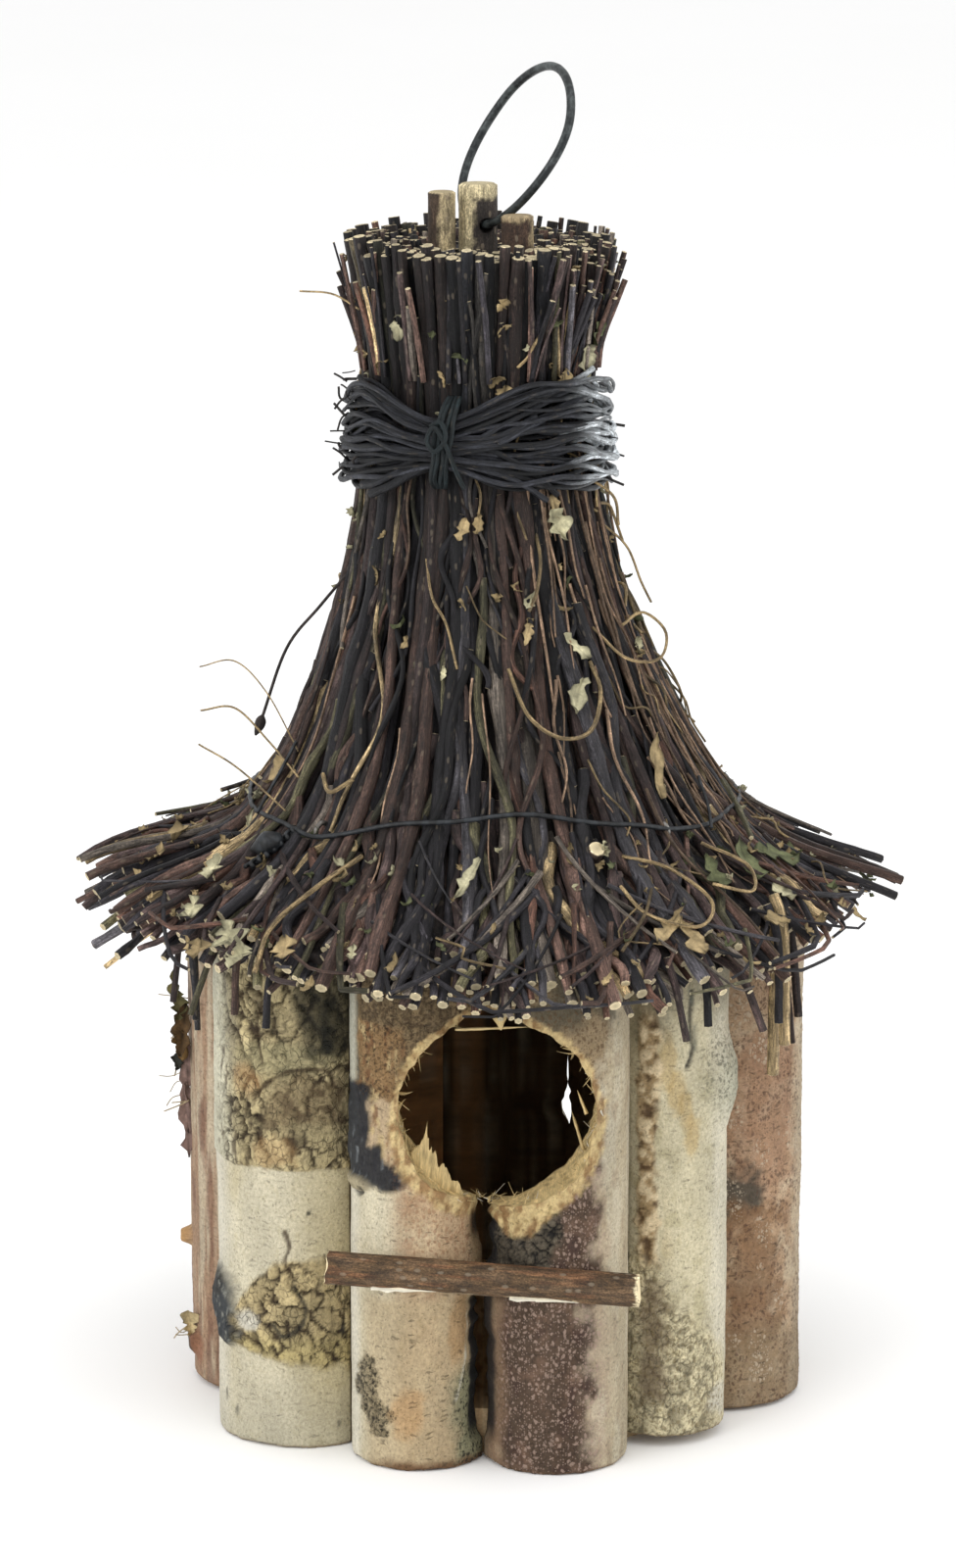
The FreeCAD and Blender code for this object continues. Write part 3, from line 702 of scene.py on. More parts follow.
def bark_front_left(b):
    """Pinkish cream, torn and scarred round the entrance, with stains near its foot."""
    b.blend(PINK_TAN * 1.12, b.onwards(-34, -10, 9 * b.field(6)) * 0.95)
    b.wash((214, 194, 160), 5, 1.6, 0.7)
    b.wash((164, 120, 88), 2.2, 1.0, 0.5 * b.onwards(-26, 8), 0.05, 0.4, 19)
    b.speckle(0.5 * b.onwards(-14, 20) * b.upwards(34, 38), (150, 102, 72))
    b.lenticels(0.9 * b.onwards(-44, -10))
    # Painted light: the log's left side, which faces the light, is made pale cream towards its edge.
    b.blend(CREAM * 1.1, 0.9 * b.onwards(12, -14, 9 * b.field(5, 3)))
    b.blend(PALE * 1.1, 0.9 * b.onwards(-34, -50, 6 * b.field(5, 4)))
    b.blend((150, 128, 92), 0.6 * b.onwards(66, 80, 6 * b.field(4)))
    # The top is darker brown: partly its rough bark, partly a painted shadow of the eave.
    top = b.area((-110, 110), (75, 130), 3.5, 4.5)
    b.blend((126, 107, 78), top)
    b.crack(0.7 * top * b.onwards(-46, -34), 2.2, 1.1, 0.25, (90, 70, 50), 23)
    b.speckle(0.9 * top * b.onwards(-48, -34), (84, 66, 46))
    b.blend((206, 204, 186), 0.9 * top * b.onwards(-40, -50))
    b.stroke([(-43, 92), (-44, 84), (-42, 77)], 0.5, (110, 110, 96), 0.3)
    low = b.upwards(37, 33)
    b.blend((192, 172, 136), 0.8 * low * b.onwards(-50, -20))
    torn = b.area((-40, 4), (58, 88), 2.5, 3.0, 24)
    b.blend(ORANGE_TAN * 0.8, 0.6 * torn)
    b.ticks(torn, (132, 92, 60), 3.0, 0.1, 25)
    b.ticks(torn, (214, 190, 140), 3.0, 0.15, 26)
    scar = b.area((-95, -27), (59.5, 76), 1.2, 1.8, 11)
    scar = np.maximum(scar, b.area((-60, -14), (56.4, 65), 1.2, 1.6, 12))
    scar = np.maximum(scar, b.spot(-10, 59, 4.0, 2.8, 0.3, 27))
    b.blend((32, 36, 43), 0.97 * scar)
    b.ticks(scar, (120, 124, 126), 3.0, 0.3, 28)
    b.rise += scar * (0.5 + 1.3 * b.field(2.4, 1.6, 13))
    lip = b.spot(-44, 56.4, 4.4, 1.5, 0.25, 14)
    b.blend((176, 164, 134), lip)
    b.rise += 1.2 * lip
    b.stroke([(-66, 57.6), (-52, 54.6), (-40, 54.2), (-32, 56)], 0.8, CHARCOAL, 0.7)
    patch = b.spot(-30, 16.5, 3.4, 5.0, 0.7, 15, 0.15) + b.spot(-18, 10.5, 3.2, 3.6, 0.7, 40, 0.15)
    patch = np.minimum(patch, 1)
    b.blend((146, 132, 102), 0.75 * patch)
    b.speckle(patch, (56, 50, 38))
    b.crack(0.8 * patch, 2.0, 1.0, 0.25, CHARCOAL, 39)
    b.blend(ORANGE_TAN, 0.55 * b.spot(8, 12, 3.0, 5.0, 0.6, 16))
    b.blend(ORANGE_TAN * 0.8, 0.6 * b.spot(56, 28, 2.6, 8.0, 0.5, 21))
    edge = smooth(-2.5, 2.5, (b.angle - 52) * b.per_degree + 2.2 * b.field(3.4, salt=17))
    edge = edge * b.upwards(23, 17) * b.upwards(-2, 1)
    b.blend(MOSS * 1.6, 0.9 * edge)
    b.speckle(edge, (44, 44, 36))
    # Painted shade: the right edge, along the gap to the next log, is painted near black low down.
    seam_shade = smooth(-0.8, 0.8, (b.angle - 70) * b.per_degree + 0.8 * b.field(3, salt=22))
    seam_shade = seam_shade * b.upwards(4, 8) * b.upwards(35, 32)
    b.blend((30, 32, 38), 0.95 * seam_shade)
    b.stroke([(66, 31), (64, 24), (58, 18), (52, 14)], 0.5, (206, 200, 180), -0.2)
    # Painted shade of the same gap, higher up the right edge.
    b.blend((40, 34, 30), 0.9 * b.onwards(70, 80) * b.upwards(44, 47))
    b.blend((112, 78, 50), 0.9 * b.upwards(2.6, 0.6, 1.2 * b.field(2.4, salt=18)) * b.onwards(-40, 0))


def bark_front_right(b):
    """Cream at its right, maroon with pale speckles at its left, charred under the entrance."""
    b.cover((196, 182, 154))
    b.wash((208, 198, 174), 2.6, 5.0, 0.7)
    b.wash((160, 140, 116), 1.6, 3.0, 0.5, 0.15, 0.5, 17)
    # The top is darker and near charcoal at its very top: partly its rough bark, partly a painted shadow of the
    # eave.
    top = b.area((-110, 24), (78, 130), 5, 5)
    b.blend((150, 128, 96), 0.9 * top)
    b.speckle(0.8 * top, (104, 80, 54))
    b.blend((84, 80, 66), 0.8 * b.area((-30, 30), (90, 130), 4, 5, 4))
    dark = np.maximum(b.area((-72, 10), (-9, 64), 4.5, 4.5, 5), b.area((-20, 21), (39, 66), 3.5, 4.5, 25))
    rim = b.area((-10, 26), (-9, 62), 4.0, 5.0, 15)
    b.blend((188, 166, 142), 0.5 * rim)
    b.blend(MAROON * 0.8, 0.95 * dark)
    b.blend((134, 106, 88), 0.6 * dark * smooth(0, 0.4, b.field(3.6, 1.4, 6)))
    b.blend((70, 48, 44), 0.6 * dark * smooth(0.05, 0.4, b.field(2.4, 2.4, 16)))
    b.speckle(0.85 * b.area((-64, 24), (-9, 66), 4, 4, 5), (184, 158, 142))
    b.blend((150, 122, 96), 0.75 * b.onwards(-52, -66, 5 * b.field(4, 2)) * b.upwards(38, 33))
    char = b.area((-84, -14), (38, 53.5), 2.5, 3.4, 8)
    b.blend((96, 88, 74), 0.95 * char)
    b.marks[:, 1] *= 1 - char
    b.crack(char, 2.6, 1.0, 0.4, (20, 18, 18), 28)
    b.marks[:, 2] = np.maximum(b.marks[:, 2], 0.5 * dark)
    b.lenticels(0.4 * b.onwards(10, 24))
    # Painted shade: the left edge, along the gap to the left-hand log, is painted near black.
    b.blend((34, 34, 38), 0.9 * b.onwards(-68, -78, 3 * b.field(3, 2, 18)) * b.upwards(3, 8)
            * b.upwards(54, 50))
    b.rise += 0.26 * dark * b.field(1.0, 0.8, 9, 2)


def bark_right(b):
    """Pale cream with a lumpy ridge, a swelling, a torn corner and a speckled foot."""
    b.cover((216, 206, 174))
    b.wash((208, 190, 148), 7, 3.0, 0.7)
    b.wash((176, 166, 128), 3.0, 1.4, 0.5, 0.1, 0.45, 21)
    # Painted light: the right side, which faces the right-hand light, is made paler.
    b.blend(PALE, 0.6 * b.onwards(-14, 12, 5 * b.field(8, 3)))
    for turn, height in ((-48, 78), (-40, 72), (-30, 68), (-24, 63)):
        b.blend((196, 168, 112), 0.6 * b.spot(turn, height, 1.5, 5.0, 0.7, 3 + height))
    # The top is darker, most of all at its left: partly its bark, partly a painted shadow of the eave.
    b.blend((150, 142, 118), 0.75 * b.upwards(82, 93, 5 * b.field(4)))
    b.blend((116, 106, 84), 0.7 * b.area((-80, -46), (82, 130), 3, 4, 22))
    knot = b.spot(34, 72, 7.5, 6.2, 0.2, 5, 0.8)
    b.rise += 2.3 * knot + 0.3 * knot * b.field(2, 1, 23)
    b.blend((172, 172, 150), 0.7 * knot)
    b.speckle(0.9 * b.spot(24, 74, 8.0, 8.5, 0.5, 6, 0.6), (118, 116, 98))
    across = np.abs((b.angle + 66) * b.per_degree + 1.0 * b.field(4, 2, 6)) + 1.6 * b.field(2.2, 1.4, 26)
    ridge = smooth(2.8, 1.5, across)
    ridge = ridge * b.upwards(90, 84) * b.upwards(26, 36)
    lumps = b.field(1.5, 1.0, 7, 3)
    b.blend((172, 146, 106), 0.95 * ridge)
    b.blend((232, 212, 174), 0.9 * ridge * smooth(-0.02, 0.2, lumps))
    b.blend((86, 62, 42), 0.85 * ridge * smooth(-0.12, -0.32, lumps))
    b.rise += ridge * (0.6 + 1.3 * lumps)
    low = smooth(-3, 3, 30 - 0.22 * (b.angle + 40) - b.height + 5 * b.field(4, salt=8))
    b.blend((226, 214, 176), 0.85 * low)
    b.speckle(0.75 * low, (146, 130, 94))
    b.crack(0.7 * low * b.onwards(30, 0), 2.4, 1.2, 0.2, (96, 84, 60), 29)
    b.blend((104, 82, 62), 0.7 * b.area((-74, -50), (10, 33), 3, 3, 9))
    b.stroke([(-26, 92), (-27, 86), (-25, 80), (-30, 77)], 0.7, CHARCOAL, 0.4)
    b.ticks(b.area((-34, -18), (78, 94), 2, 2, 24), (110, 112, 100), 4.0, 0.1)
    b.lenticels(0.6)
    b.blend(PALE, 0.8 * b.spot(20, 8, 4.0, 3.0, 0.5, 25))


def bark_far_right(b):
    """Pinkish brown, speckled dark and pale, with a dark knot."""
    b.cover((192, 162, 130))
    b.wash((214, 194, 164), 2.4, 1.6, 0.8)
    b.wash((138, 104, 80), 2.0, 1.6, 0.6, 0.05, 0.45, 12)
    b.blend((166, 128, 100), 0.7 * b.area((-80, -22), (44, 78), 5, 5, 3))
    b.speckle(0.8 * smooth(0.1, -0.1, b.field(5, 1.5, 14)), (98, 72, 58))
    b.speckle(0.8 * smooth(0.1, 0.3, b.field(5, 1.5, 14)), (216, 198, 172))
    b.blend((190, 176, 150), 0.7 * b.onwards(-30, -6, 7 * b.field(5, 3)))
    b.blend((60, 62, 56), 0.85 * b.area((-88, -52), (40, 50), 3, 4, 4))
    b.blend((142, 107, 76), 0.8 * b.area((-78, -34), (12, 42), 4, 5, 5))
    b.blend((148, 128, 100), 0.7 * b.upwards(20, 12, 3 * b.field(5)))
    b.lenticels(0.9)
    b.rise += 0.2 * b.field(0.9, 0.7, 6, 2)


def bark_far_left(b):
    """Bare reddish wood in upright stripes, with two stubs."""
    b.cover((168, 138, 112))
    stripes = smooth(-0.1, 0.3, b.field(1.2, 16.0, 3))
    b.blend((206, 192, 166), 0.75 * stripes)
    b.blend((122, 86, 70), 0.7 * smooth(0.05, 0.4, b.field(1.5, 9.0, 4)))
    b.blend((92, 68, 58), 0.8 * b.area((-30, 10), (62, 110), 5, 7, 5) * smooth(-0.3, 0.2, b.field(2, 8, 9)))
    b.blend(ORANGE_TAN, b.spot(6, 29.5, 1.8, 1.9, 0.25, 6))
    b.rise += 2.2 * b.spot(6, 29.5, 1.6, 1.6, 0.2, 6)
    stub = b.spot(14, 9, 2.4, 3.2, 0.3, 7)
    b.blend(CHARCOAL, 0.85 * stub)
    b.blend((150, 104, 78), 0.8 * b.spot(26, 7, 2.2, 3.6, 0.4, 8))
    b.rise += 1.4 * stub
    b.lenticels(0.4)


def bark_back(b):
    """The logs at the back take turns: pale and smooth, rough low down, or dark and speckled."""
    turn = b.seed % 3
    b.wash(YELLOW_CREAM, 12, 1.6, 0.7)
    b.wash((184, 168, 134), 6, 2.4, 0.6, 0.0, 0.4, 2)
    b.wash((160, 142, 110), 2.6, 1.4, 0.5, 0.1, 0.4, 8)
    b.lenticels(0.9)
    edge = 26 + 46 * ((b.seed * 0.37) % 1)
    if turn == 1:
        rough = smooth(1.2, -1.2, b.height - edge + 3 * b.field(5, salt=3))
        b.blend(OLIVE_TAN, rough)
        b.crack(rough)
        b.rise += 0.4 * rough
    if turn == 2:
        dark = smooth(-0.3, 0.3, b.field(16, 2.2, 4))
        b.blend(MAROON, 0.85 * dark)
        b.speckle(0.9 * dark, (184, 162, 140))
    knot = b.spot(-30 + 24 * turn, edge, 4.5, 5.5, 0.25, 6)
    b.blend((96, 90, 78), 0.85 * knot)
    b.rise += 1.5 * knot
    b.blend(CHARCOAL, 0.8 * b.spot(-30 + 24 * turn, edge, 2.0, 2.6, 0.3, 7))
    rng = np.random.default_rng(200 + b.seed)
    for i in range(7):
        angle, height, half = rng.uniform(-70, 70), rng.uniform(6, 96), rng.uniform(6, 22)
        slope = rng.uniform(-1.0, 1.0)
        b.stroke([(angle - half, height - slope), (angle, height + 0.4), (angle + half, height + slope)],
                 rng.uniform(0.4, 0.9), DARK_BROWN, 0.3, 70 + i)
    b.ticks(smooth(0.15, 0.4, b.field(9, 1.5, 90)), BROWN, 4.0, 0.2)
    b.blend((112, 92, 66), 0.7 * b.upwards(9, 1, 4 * b.field(5, 1, 91)))


BARKS = {
    "log_left": bark_left,
    "log_front_left": bark_front_left,
    "log_front_right": bark_front_right,
    "log_right": bark_right,
    "log_far_right": bark_far_right,
    "log_far_left": bark_far_left,
}
LOG_NAMES = sorted(n for n in frame["nodes"] if n.startswith("log_") and n != "log_brads")

ENTRANCE = next(o for o in frame["record"]["physics"]["openings"] if o["name"] == "entrance")["box_m"]
HOLE_RADIUS = 19.0
HOLE_X = (ENTRANCE[0][0] + ENTRANCE[1][0]) / 2 / MM
HOLE_Z = (ENTRANCE[0][2] + ENTRANCE[1][2]) / 2 / MM
POINT_STEP = 0.42  # the logs' mesh is about this fine


def log_frame(node):
    """A log's flat face's middle, its way out and across, its radius, foot and top."""
    points = node_points(node)
    plan = np.unique(points[:, :2].round(3), axis=0)
    first, second, width = furthest_pair(plan)
    middle = (first + second) / 2
    out = np.array([*unit(middle), 0.0])
    across = np.array([-out[1], out[0], 0.0])
    return middle, out, across, width / 2, points[:, 2].min(), points[:, 2].max()


def hole_distance(x, z):
    """How far outside the entrance's edge a place on the front is, and how low on it: 1 at its foot."""
    reach = np.hypot(x - HOLE_X, z - HOLE_Z)
    return reach - HOLE_RADIUS, smooth(0.35, -0.75, (z - HOLE_Z) / reach)


def log_bark(node, angle, height):
    """The bark of one log at these angles and heights, torn round the entrance."""
    middle, out, across, radius, _, _ = log_frame(node)
    bark = Bark(angle, height, radius, 1 + LOG_NAMES.index(node))
    BARKS.get(node, bark_back)(bark)
    a = np.radians(angle)
    if node.startswith("log_front"):
        x = middle[0] + radius * (np.cos(a) * out[0] + np.sin(a) * across[0])
        gap, low = hole_distance(x, height)
        gap = gap + 1.0 * bark.field(2.6, 1, 60) + 0.7 * bark.field(0.9, 1, 61)
        # The tear reaches further down at the foot of the hole, over the right-hand log.
        gap = gap - 2.6 * low * smooth(-1, 3, x) * smooth(12, 7, x)
        torn = smooth(1.7 + 1.7 * low, 0.9 + 1.1 * low, gap)
        fresh = smooth(-0.35, 0.3, bark.field(1.0, 1.6, 62))[:, None]
        aged = srgb(156, 122, 80)
        bark.blend(aged + (TORN * 1.15 - aged) * fresh, 0.92 * torn)
        bark.marks *= (1 - torn)[:, None]
        bark.rise += torn * (0.6 * bark.field(1.2, 1.0, 63) - 0.25)
    uneven = 0.55 * bark.field(20, 1.6, 50) + 0.2 * bark.field(5, 1.4, 51)
    bark.rise += uneven + 0.07 * bark.field(1.1, 1, 52)
    bark.rise *= np.clip(np.cos(a), 0, 1) ** 0.5
    return bark


# Where a log's long edges are worn back, as (side, from height, to height, how far): the gaps between
# the two front logs, and the slits of light between two of the back ones.
WORN_EDGES = {
    "log_front_left": [(1, 5, 34, 1.7), (1, 44, 54, 1.2)],
    "log_front_right": [(-1, 5, 26, 0.9), (-1, 40, 54, 1.5)],
    "log_back_2": [(1, 39, 47, 1.7), (1, 48, 55, 0.65), (1, 56, 61.5, 1.4)],
    "log_back_3": [(-1, 40, 47, 1.5), (-1, 48, 55, 0.6), (-1, 56, 61, 1.2)],
}


def worn_back(node, side, height):
    """How far each height of a log's edge is worn back."""
    depth = np.zeros(len(height))
    for where, low, high, most in WORN_EDGES.get(node, ()):
        if where == side:
            ragged = noise_at(height * 0.6, 0, low)
            window = smooth(low - 1.5, low + 1.5, height) * smooth(high + 1.5, high - 1.5, height)
            depth += most * window * (0.8 + 0.4 * ragged)
    return depth


def log_shape(node):
    """A half log: bark over the round, split wood on the flat, sawn ends."""
    middle, out, across, radius, foot, top = log_frame(node)
    arc_count = int(math.pi * radius / POINT_STEP)
    flat_count = int(2 * radius / 1.2)
    rows = int((top - foot) / POINT_STEP)
    angle = np.linspace(-90, 90, arc_count)
    height = np.linspace(foot, top, rows)
    grid_height, grid_angle = crossed(height, angle)
    lift = log_bark(node, grid_angle, grid_height).rise.reshape(rows, arc_count)
    from_end = np.minimum(height - foot, top - height)
    worn = 0.35 * smooth(0.5, 0.0, from_end)[:, None]
    # The logs at the back are pressed together and close the seams, but for their worn places.
    pressed = 0.4 if node.startswith("log_back") else 0.0
    edge_wear = {side: worn_back(node, side, height)[:, None] - pressed for side in (-1, 1)}
    worn = worn + edge_wear[1] * smooth(50, 88, angle)[None] + edge_wear[-1] * smooth(-50, -88, angle)[None]
    reach = radius + lift - worn
    a = np.radians(angle)[None, :, None]
    base = np.array([*middle, 0.0])
    round_part = base + reach[:, :, None] * (np.cos(a) * out + np.sin(a) * across)
    round_part = round_part + height[:, None, None] * UP
    share = np.linspace(1, -1, flat_count + 2)[1:-1]
    split = 0.25 * noise_at(height[:, None] * 0.08, share * radius * 0.5, LOG_NAMES.index(node) * 9.1)
    half = radius - np.where(share > 0, edge_wear[1], edge_wear[-1])
    flat_part = base + (share * half)[:, :, None] * across + height[:, None, None] * UP
    flat_part = flat_part + np.abs(split.reshape(rows, flat_count, 1)) * out
    points = np.concatenate([round_part, flat_part], axis=1)
    columns = arc_count + flat_count
    # The foot and the top are sawn a little unevenly.
    ends = np.concatenate([points[0], points[-1]])
    ragged = 0.5 * np.abs(value_noise(ends * 0.2)) + 0.35 * np.abs(value_noise(ends * 1.1, 5))
    fade = smooth(1.6, 0.0, from_end)[:, None]
    points[:, :, 2] += np.where(height[:, None] < 50, ragged[:columns], -ragged[columns:]) * fade
    slots = ([0] * (arc_count - 1) + [1] * (flat_count + 1)) * (rows - 1) + [1, 1]
    shape = Shape()
    shape.add(points.reshape(-1, 3), tube_faces(rows, columns), SPLIT, [0, 0, 0], slots)
    return shape


def entrance_cutter():
    """A ragged cylinder the size of the entrance, for cutting the front logs."""
    rows, columns = 46, 150
    depth = np.linspace(-70, -34, rows)
    turn = np.linspace(0, 2 * math.pi, columns, endpoint=False)
    y, a = crossed(depth, turn)
    rough = fractal(np.stack([np.sin(a) * 4.0, np.cos(a) * 4.0, y * 0.07], 1), 70)
    fine = noise_at(np.sin(a) * 13.0, np.cos(a) * 13.0, y * 0.12, 71)
    reach = HOLE_RADIUS + 0.75 * rough + 0.4 * fine - 0.2
    points = np.stack([HOLE_X + reach * np.sin(a), y, HOLE_Z + reach * np.cos(a)], 1)
    shape = Shape()
    shape.add(points, tube_faces(rows, columns), TORN, [0, 0, 0])
    return make(shape, "cutter", [TORN_WOOD])


def carve(obj, cutter):
    """Cuts one object out of another and leaves the cut faces in the cutter's material."""
    modifier = obj.modifiers.new("carve", "BOOLEAN")
    modifier.operation = "DIFFERENCE"
    modifier.solver = "EXACT"
    modifier.material_mode = "TRANSFER"
    modifier.object = cutter
    evaluated = obj.evaluated_get(bpy.context.evaluated_depsgraph_get())
    carved = bpy.data.meshes.new_from_object(evaluated)
    obj.modifiers.clear()
    obj.data = carved


def paint_log(obj, node):
    """Gives a finished log its colours from where its points lie."""
    middle, out, across, radius, foot, top = log_frame(node)
    mesh = obj.data
    points = mesh_points(mesh)
    flat = points - np.array([*middle, 0.0])
    ahead, aside = flat @ out, flat @ across
    angle = np.degrees(np.arctan2(aside, np.maximum(ahead, 1e-6)))
    bark = log_bark(node, angle, points[:, 2])
    # Inside: split wood on the flat, darkened as painted shade of the house's inside, and torn wood through the
    # entrance.
    inner = smooth(0.5, 0.0, ahead)
    shade = 0.3 + 0.1 * bark.field(2.0, 6.0, 65)
    # Painted light: a lit strip on this back log's flat, where light falls in through the entrance.
    if node == "log_back_3":
        shade = shade + 0.9 * smooth(4.0, 5.5, aside) * smooth(11.5, 10.0, aside)
    # Painted light: this back log's flat is painted lit brown, where light falls in through the entrance.
    if node == "log_back_4":
        shade = shade + 1.9 + 0.9 * bark.field(1.5, 8.0, 66)
    bark.blend(SPLIT * shade[:, None], inner)
    end = smooth(0.9, 0.2, np.minimum(points[:, 2] - foot, top - points[:, 2]))
    bark.blend((128, 100, 70), 0.6 * end)
    grain = np.stack([bark.arc + 40.0 * bark.seed, points[:, 2], np.full(len(points), 7.0 * bark.seed)], 1)
    if node.startswith("log_front"):
        gap, _ = hole_distance(points[:, 0], points[:, 2])
        wall = smooth(1.7, 1.3, np.abs(gap)) * (np.hypot(ahead, aside) < radius - 0.8) * (1 - inner)
        fresh = TORN * (0.95 + 0.75 * bark.field(1.1, 1.0, 64))[:, None]
        bark.blend(fresh, wall)
        turn = np.arctan2(points[:, 0] - HOLE_X, points[:, 2] - HOLE_Z)
        through = np.stack([turn * HOLE_RADIUS, points[:, 1], np.full(len(points), 3.0)], 1)
        grain = np.where(wall[:, None] > 0.5, through, grain)
    paint(mesh, "tint", bark.tint, "FLOAT_COLOR")
    paint(mesh, "mark_tint", bark.mark_tint, "FLOAT_COLOR")
    paint(mesh, "marks", bark.marks)
    paint(mesh, "grain", grain)


def make_logs():
    """Every log with its bark, the two front ones cut by the entrance."""
    cutter = entrance_cutter()
    for node in LOG_NAMES:
        log = make(log_shape(node), node + "_bark", [BARK, RAW_WOOD], flat_slots=(1,))
        if node.startswith("log_front"):
            carve(log, cutter)
        paint_log(log, node)
        finish_piece(log, "house", "birch_bark", node)
    bpy.data.objects.remove(cutter)


make_logs()


# ---------------------------------------------------------------- torn wood round the entrance
def sliver(shape, start, direction, length, width, tint, bend, seed, slot=0, facing=(0.0, -1.0, 0.02)):
    """Adds a flat pointed splinter that bends as it goes, with its broad side towards facing."""
    steps = np.linspace(0, 1, 9)
    direction, bend = unit(direction), np.asarray(bend, float)
    path = np.asarray(start) + np.outer(steps * length, direction) + np.outer(steps**2 * length, bend)
    tangent = unit(np.gradient(path, axis=0))
    side = unit(np.cross(tangent, facing))
    thick = np.cross(tangent, side)
    torn = 1 + 0.5 * noise_at(steps * length * 0.7, 0, seed * 1.7)
    half = (width / 2 * (1 - steps**1.8) * torn + 0.03)[:, None]
    ring = np.stack([side * half, thick * half * 0.3, -side * half, -thick * half * 0.3], 1)
    points = (path[:, None] + ring).reshape(-1, 3)
    faces = grid_faces(9, 4, closed=True) + [[3, 2, 1, 0], [32, 33, 34, 35]]
    grain = np.stack([np.tile([0, 0.5, 1, 1.5], 9), np.repeat(steps * length, 4), np.full(36, seed)], 1)
    shape.add(points, faces, tint, grain, slot)


def torn_flake(shape, turns, y, tips):
    """Adds the sheet of wood left standing in the hole, from its rim between two turns, with jagged tips
    as (share of its width, height)."""
    columns, rows, thickness = 46, 10, 0.35
    share, rise = np.linspace(0, 1, columns), np.linspace(0, 1, rows)
    turn = np.radians(turns[0] + (turns[1] - turns[0]) * share)
    jag = noise_at(share * 30, 0, 5)
    height = np.interp(share, *zip(*tips)) * (1 + 0.22 * jag) + 0.8
    x = HOLE_X + (HOLE_RADIUS + 0.6) * np.sin(turn)
    z = HOLE_Z + (HOLE_RADIUS + 0.6) * np.cos(turn)
    up = rise[:, None] * height[None]
    ripple = 0.35 * noise_at(share[None] * 9, up * 0.1, 0).reshape(up.shape)
    front = np.stack([x[None] + 0.12 * up, y + 0.02 * up**2 + ripple, z[None] + up], -1).reshape(-1, 3)
    both = np.vstack([front, front + [0, thickness, 0]])
    count = rows * columns
    grain = np.stack([np.tile(share * 14, rows), up.ravel(), np.full(count, 9.0)], 1)
    shade = 0.72 + 0.3 * smooth(-0.4, 0.4, value_noise(grain * [1.6, 0.2, 1.0], 12))
    tint = TORN * np.tile(shade, 2)[:, None]
    shape.add(both, sheet_faces(rows, columns), tint, np.tile(grain, (2, 1)))


def rim_fibres(shape, rng, count):
    """Torn fibres round the entrance's rim, most of them at its lower half."""
    logs = {n: log_frame(n) for n in ("log_front_left", "log_front_right")}
    for i in range(count):
        turn = rng.uniform(0, 2 * math.pi)
        lower = 0.5 - 0.5 * math.cos(turn)
        if rng.random() > 0.45 + 0.55 * lower:
            continue
        x, z = HOLE_X + HOLE_RADIUS * math.sin(turn), HOLE_Z + HOLE_RADIUS * math.cos(turn)
        middle, out, across, radius, _, _ = logs["log_front_left" if x < -1.5 else "log_front_right"]
        aside = (x - middle[0]) / across[0]
        aside = float(np.clip(aside, -radius * 0.97, radius * 0.97))
        front = -(abs(middle[1]) + math.sqrt(max(radius**2 - aside**2, 0.5)) * abs(out[1]))
        y = front + rng.uniform(0.3, 5.0 + 6.0 * lower)
        y = min(y, -47.0)
        inward = np.array([-math.sin(turn), 0.0, -math.cos(turn)])
        around = np.array([math.cos(turn), 0.0, -math.sin(turn)])
        direction = inward * rng.uniform(-0.1, 0.45) + around * rng.uniform(-1.0, 1.0)
        direction = direction + np.array([0, rng.uniform(-0.5, 0.3), 0])
        tint = TORN * rng.uniform(0.7, 1.12) if rng.random() < 0.85 else PALE * rng.uniform(0.8, 1.0)
        start = np.array([x, y, z]) - inward * 0.5
        bend = rng.uniform(-0.6, 0.6, 3)
        width = rng.choice([rng.uniform(0.08, 0.22), rng.uniform(0.3, 0.65)], p=[0.9, 0.1])
        sliver(shape, start, direction, rng.uniform(0.8, 3.2), width, tint, bend, i)


def make_entrance_fibres():
    """The torn fibres, the jagged flake and the larger splinters round the entrance."""
    rng = np.random.default_rng(11)
    shape = Shape()
    rim_fibres(shape, rng, 620)
    torn_flake(shape, (200, 238), -51.5,
               [(0, 0.8), (0.12, 2.6), (0.2, 1.8), (0.34, 4.6), (0.44, 3.4), (0.56, 5.4), (0.64, 4.6),
                (0.74, 8.2), (0.84, 4.4), (1, 0.6)])
    # Larger splinters: a strip across the top and slivers at the right.
    big = [
        # where it starts, which way it points, its length and its width
        ((-7.0, -56.5, 88.4), (1.0, 0.0, 0.04), 14.0, 0.6),
        ((1.4, -57.0, 91.0), (0.1, 0.0, -1.0), 2.6, 2.8),
        ((-17.6, -53.4, 81.0), (0.3, 0.1, -0.9), 3.4, 0.5),
        ((-18.6, -53.2, 70.0), (0.4, 0.0, 0.8), 3.8, 0.5),
        ((17.4, -51.0, 63.0), (-0.3, 0.1, 1.0), 8.0, 1.0),
        ((18.0, -50.6, 70.0), (-0.35, 0.1, 0.9), 5.0, 0.8),
    ]
    for i, (start, direction, length, width) in enumerate(big):
        tint = TORN * rng.uniform(0.85, 1.1)
        sliver(shape, start, direction, length, width, tint, (0, 0, 0), 400 + i * 1.3)
    add_piece(shape, "entrance_splinters", [TORN_WOOD], "birch_bark")


make_entrance_fibres()


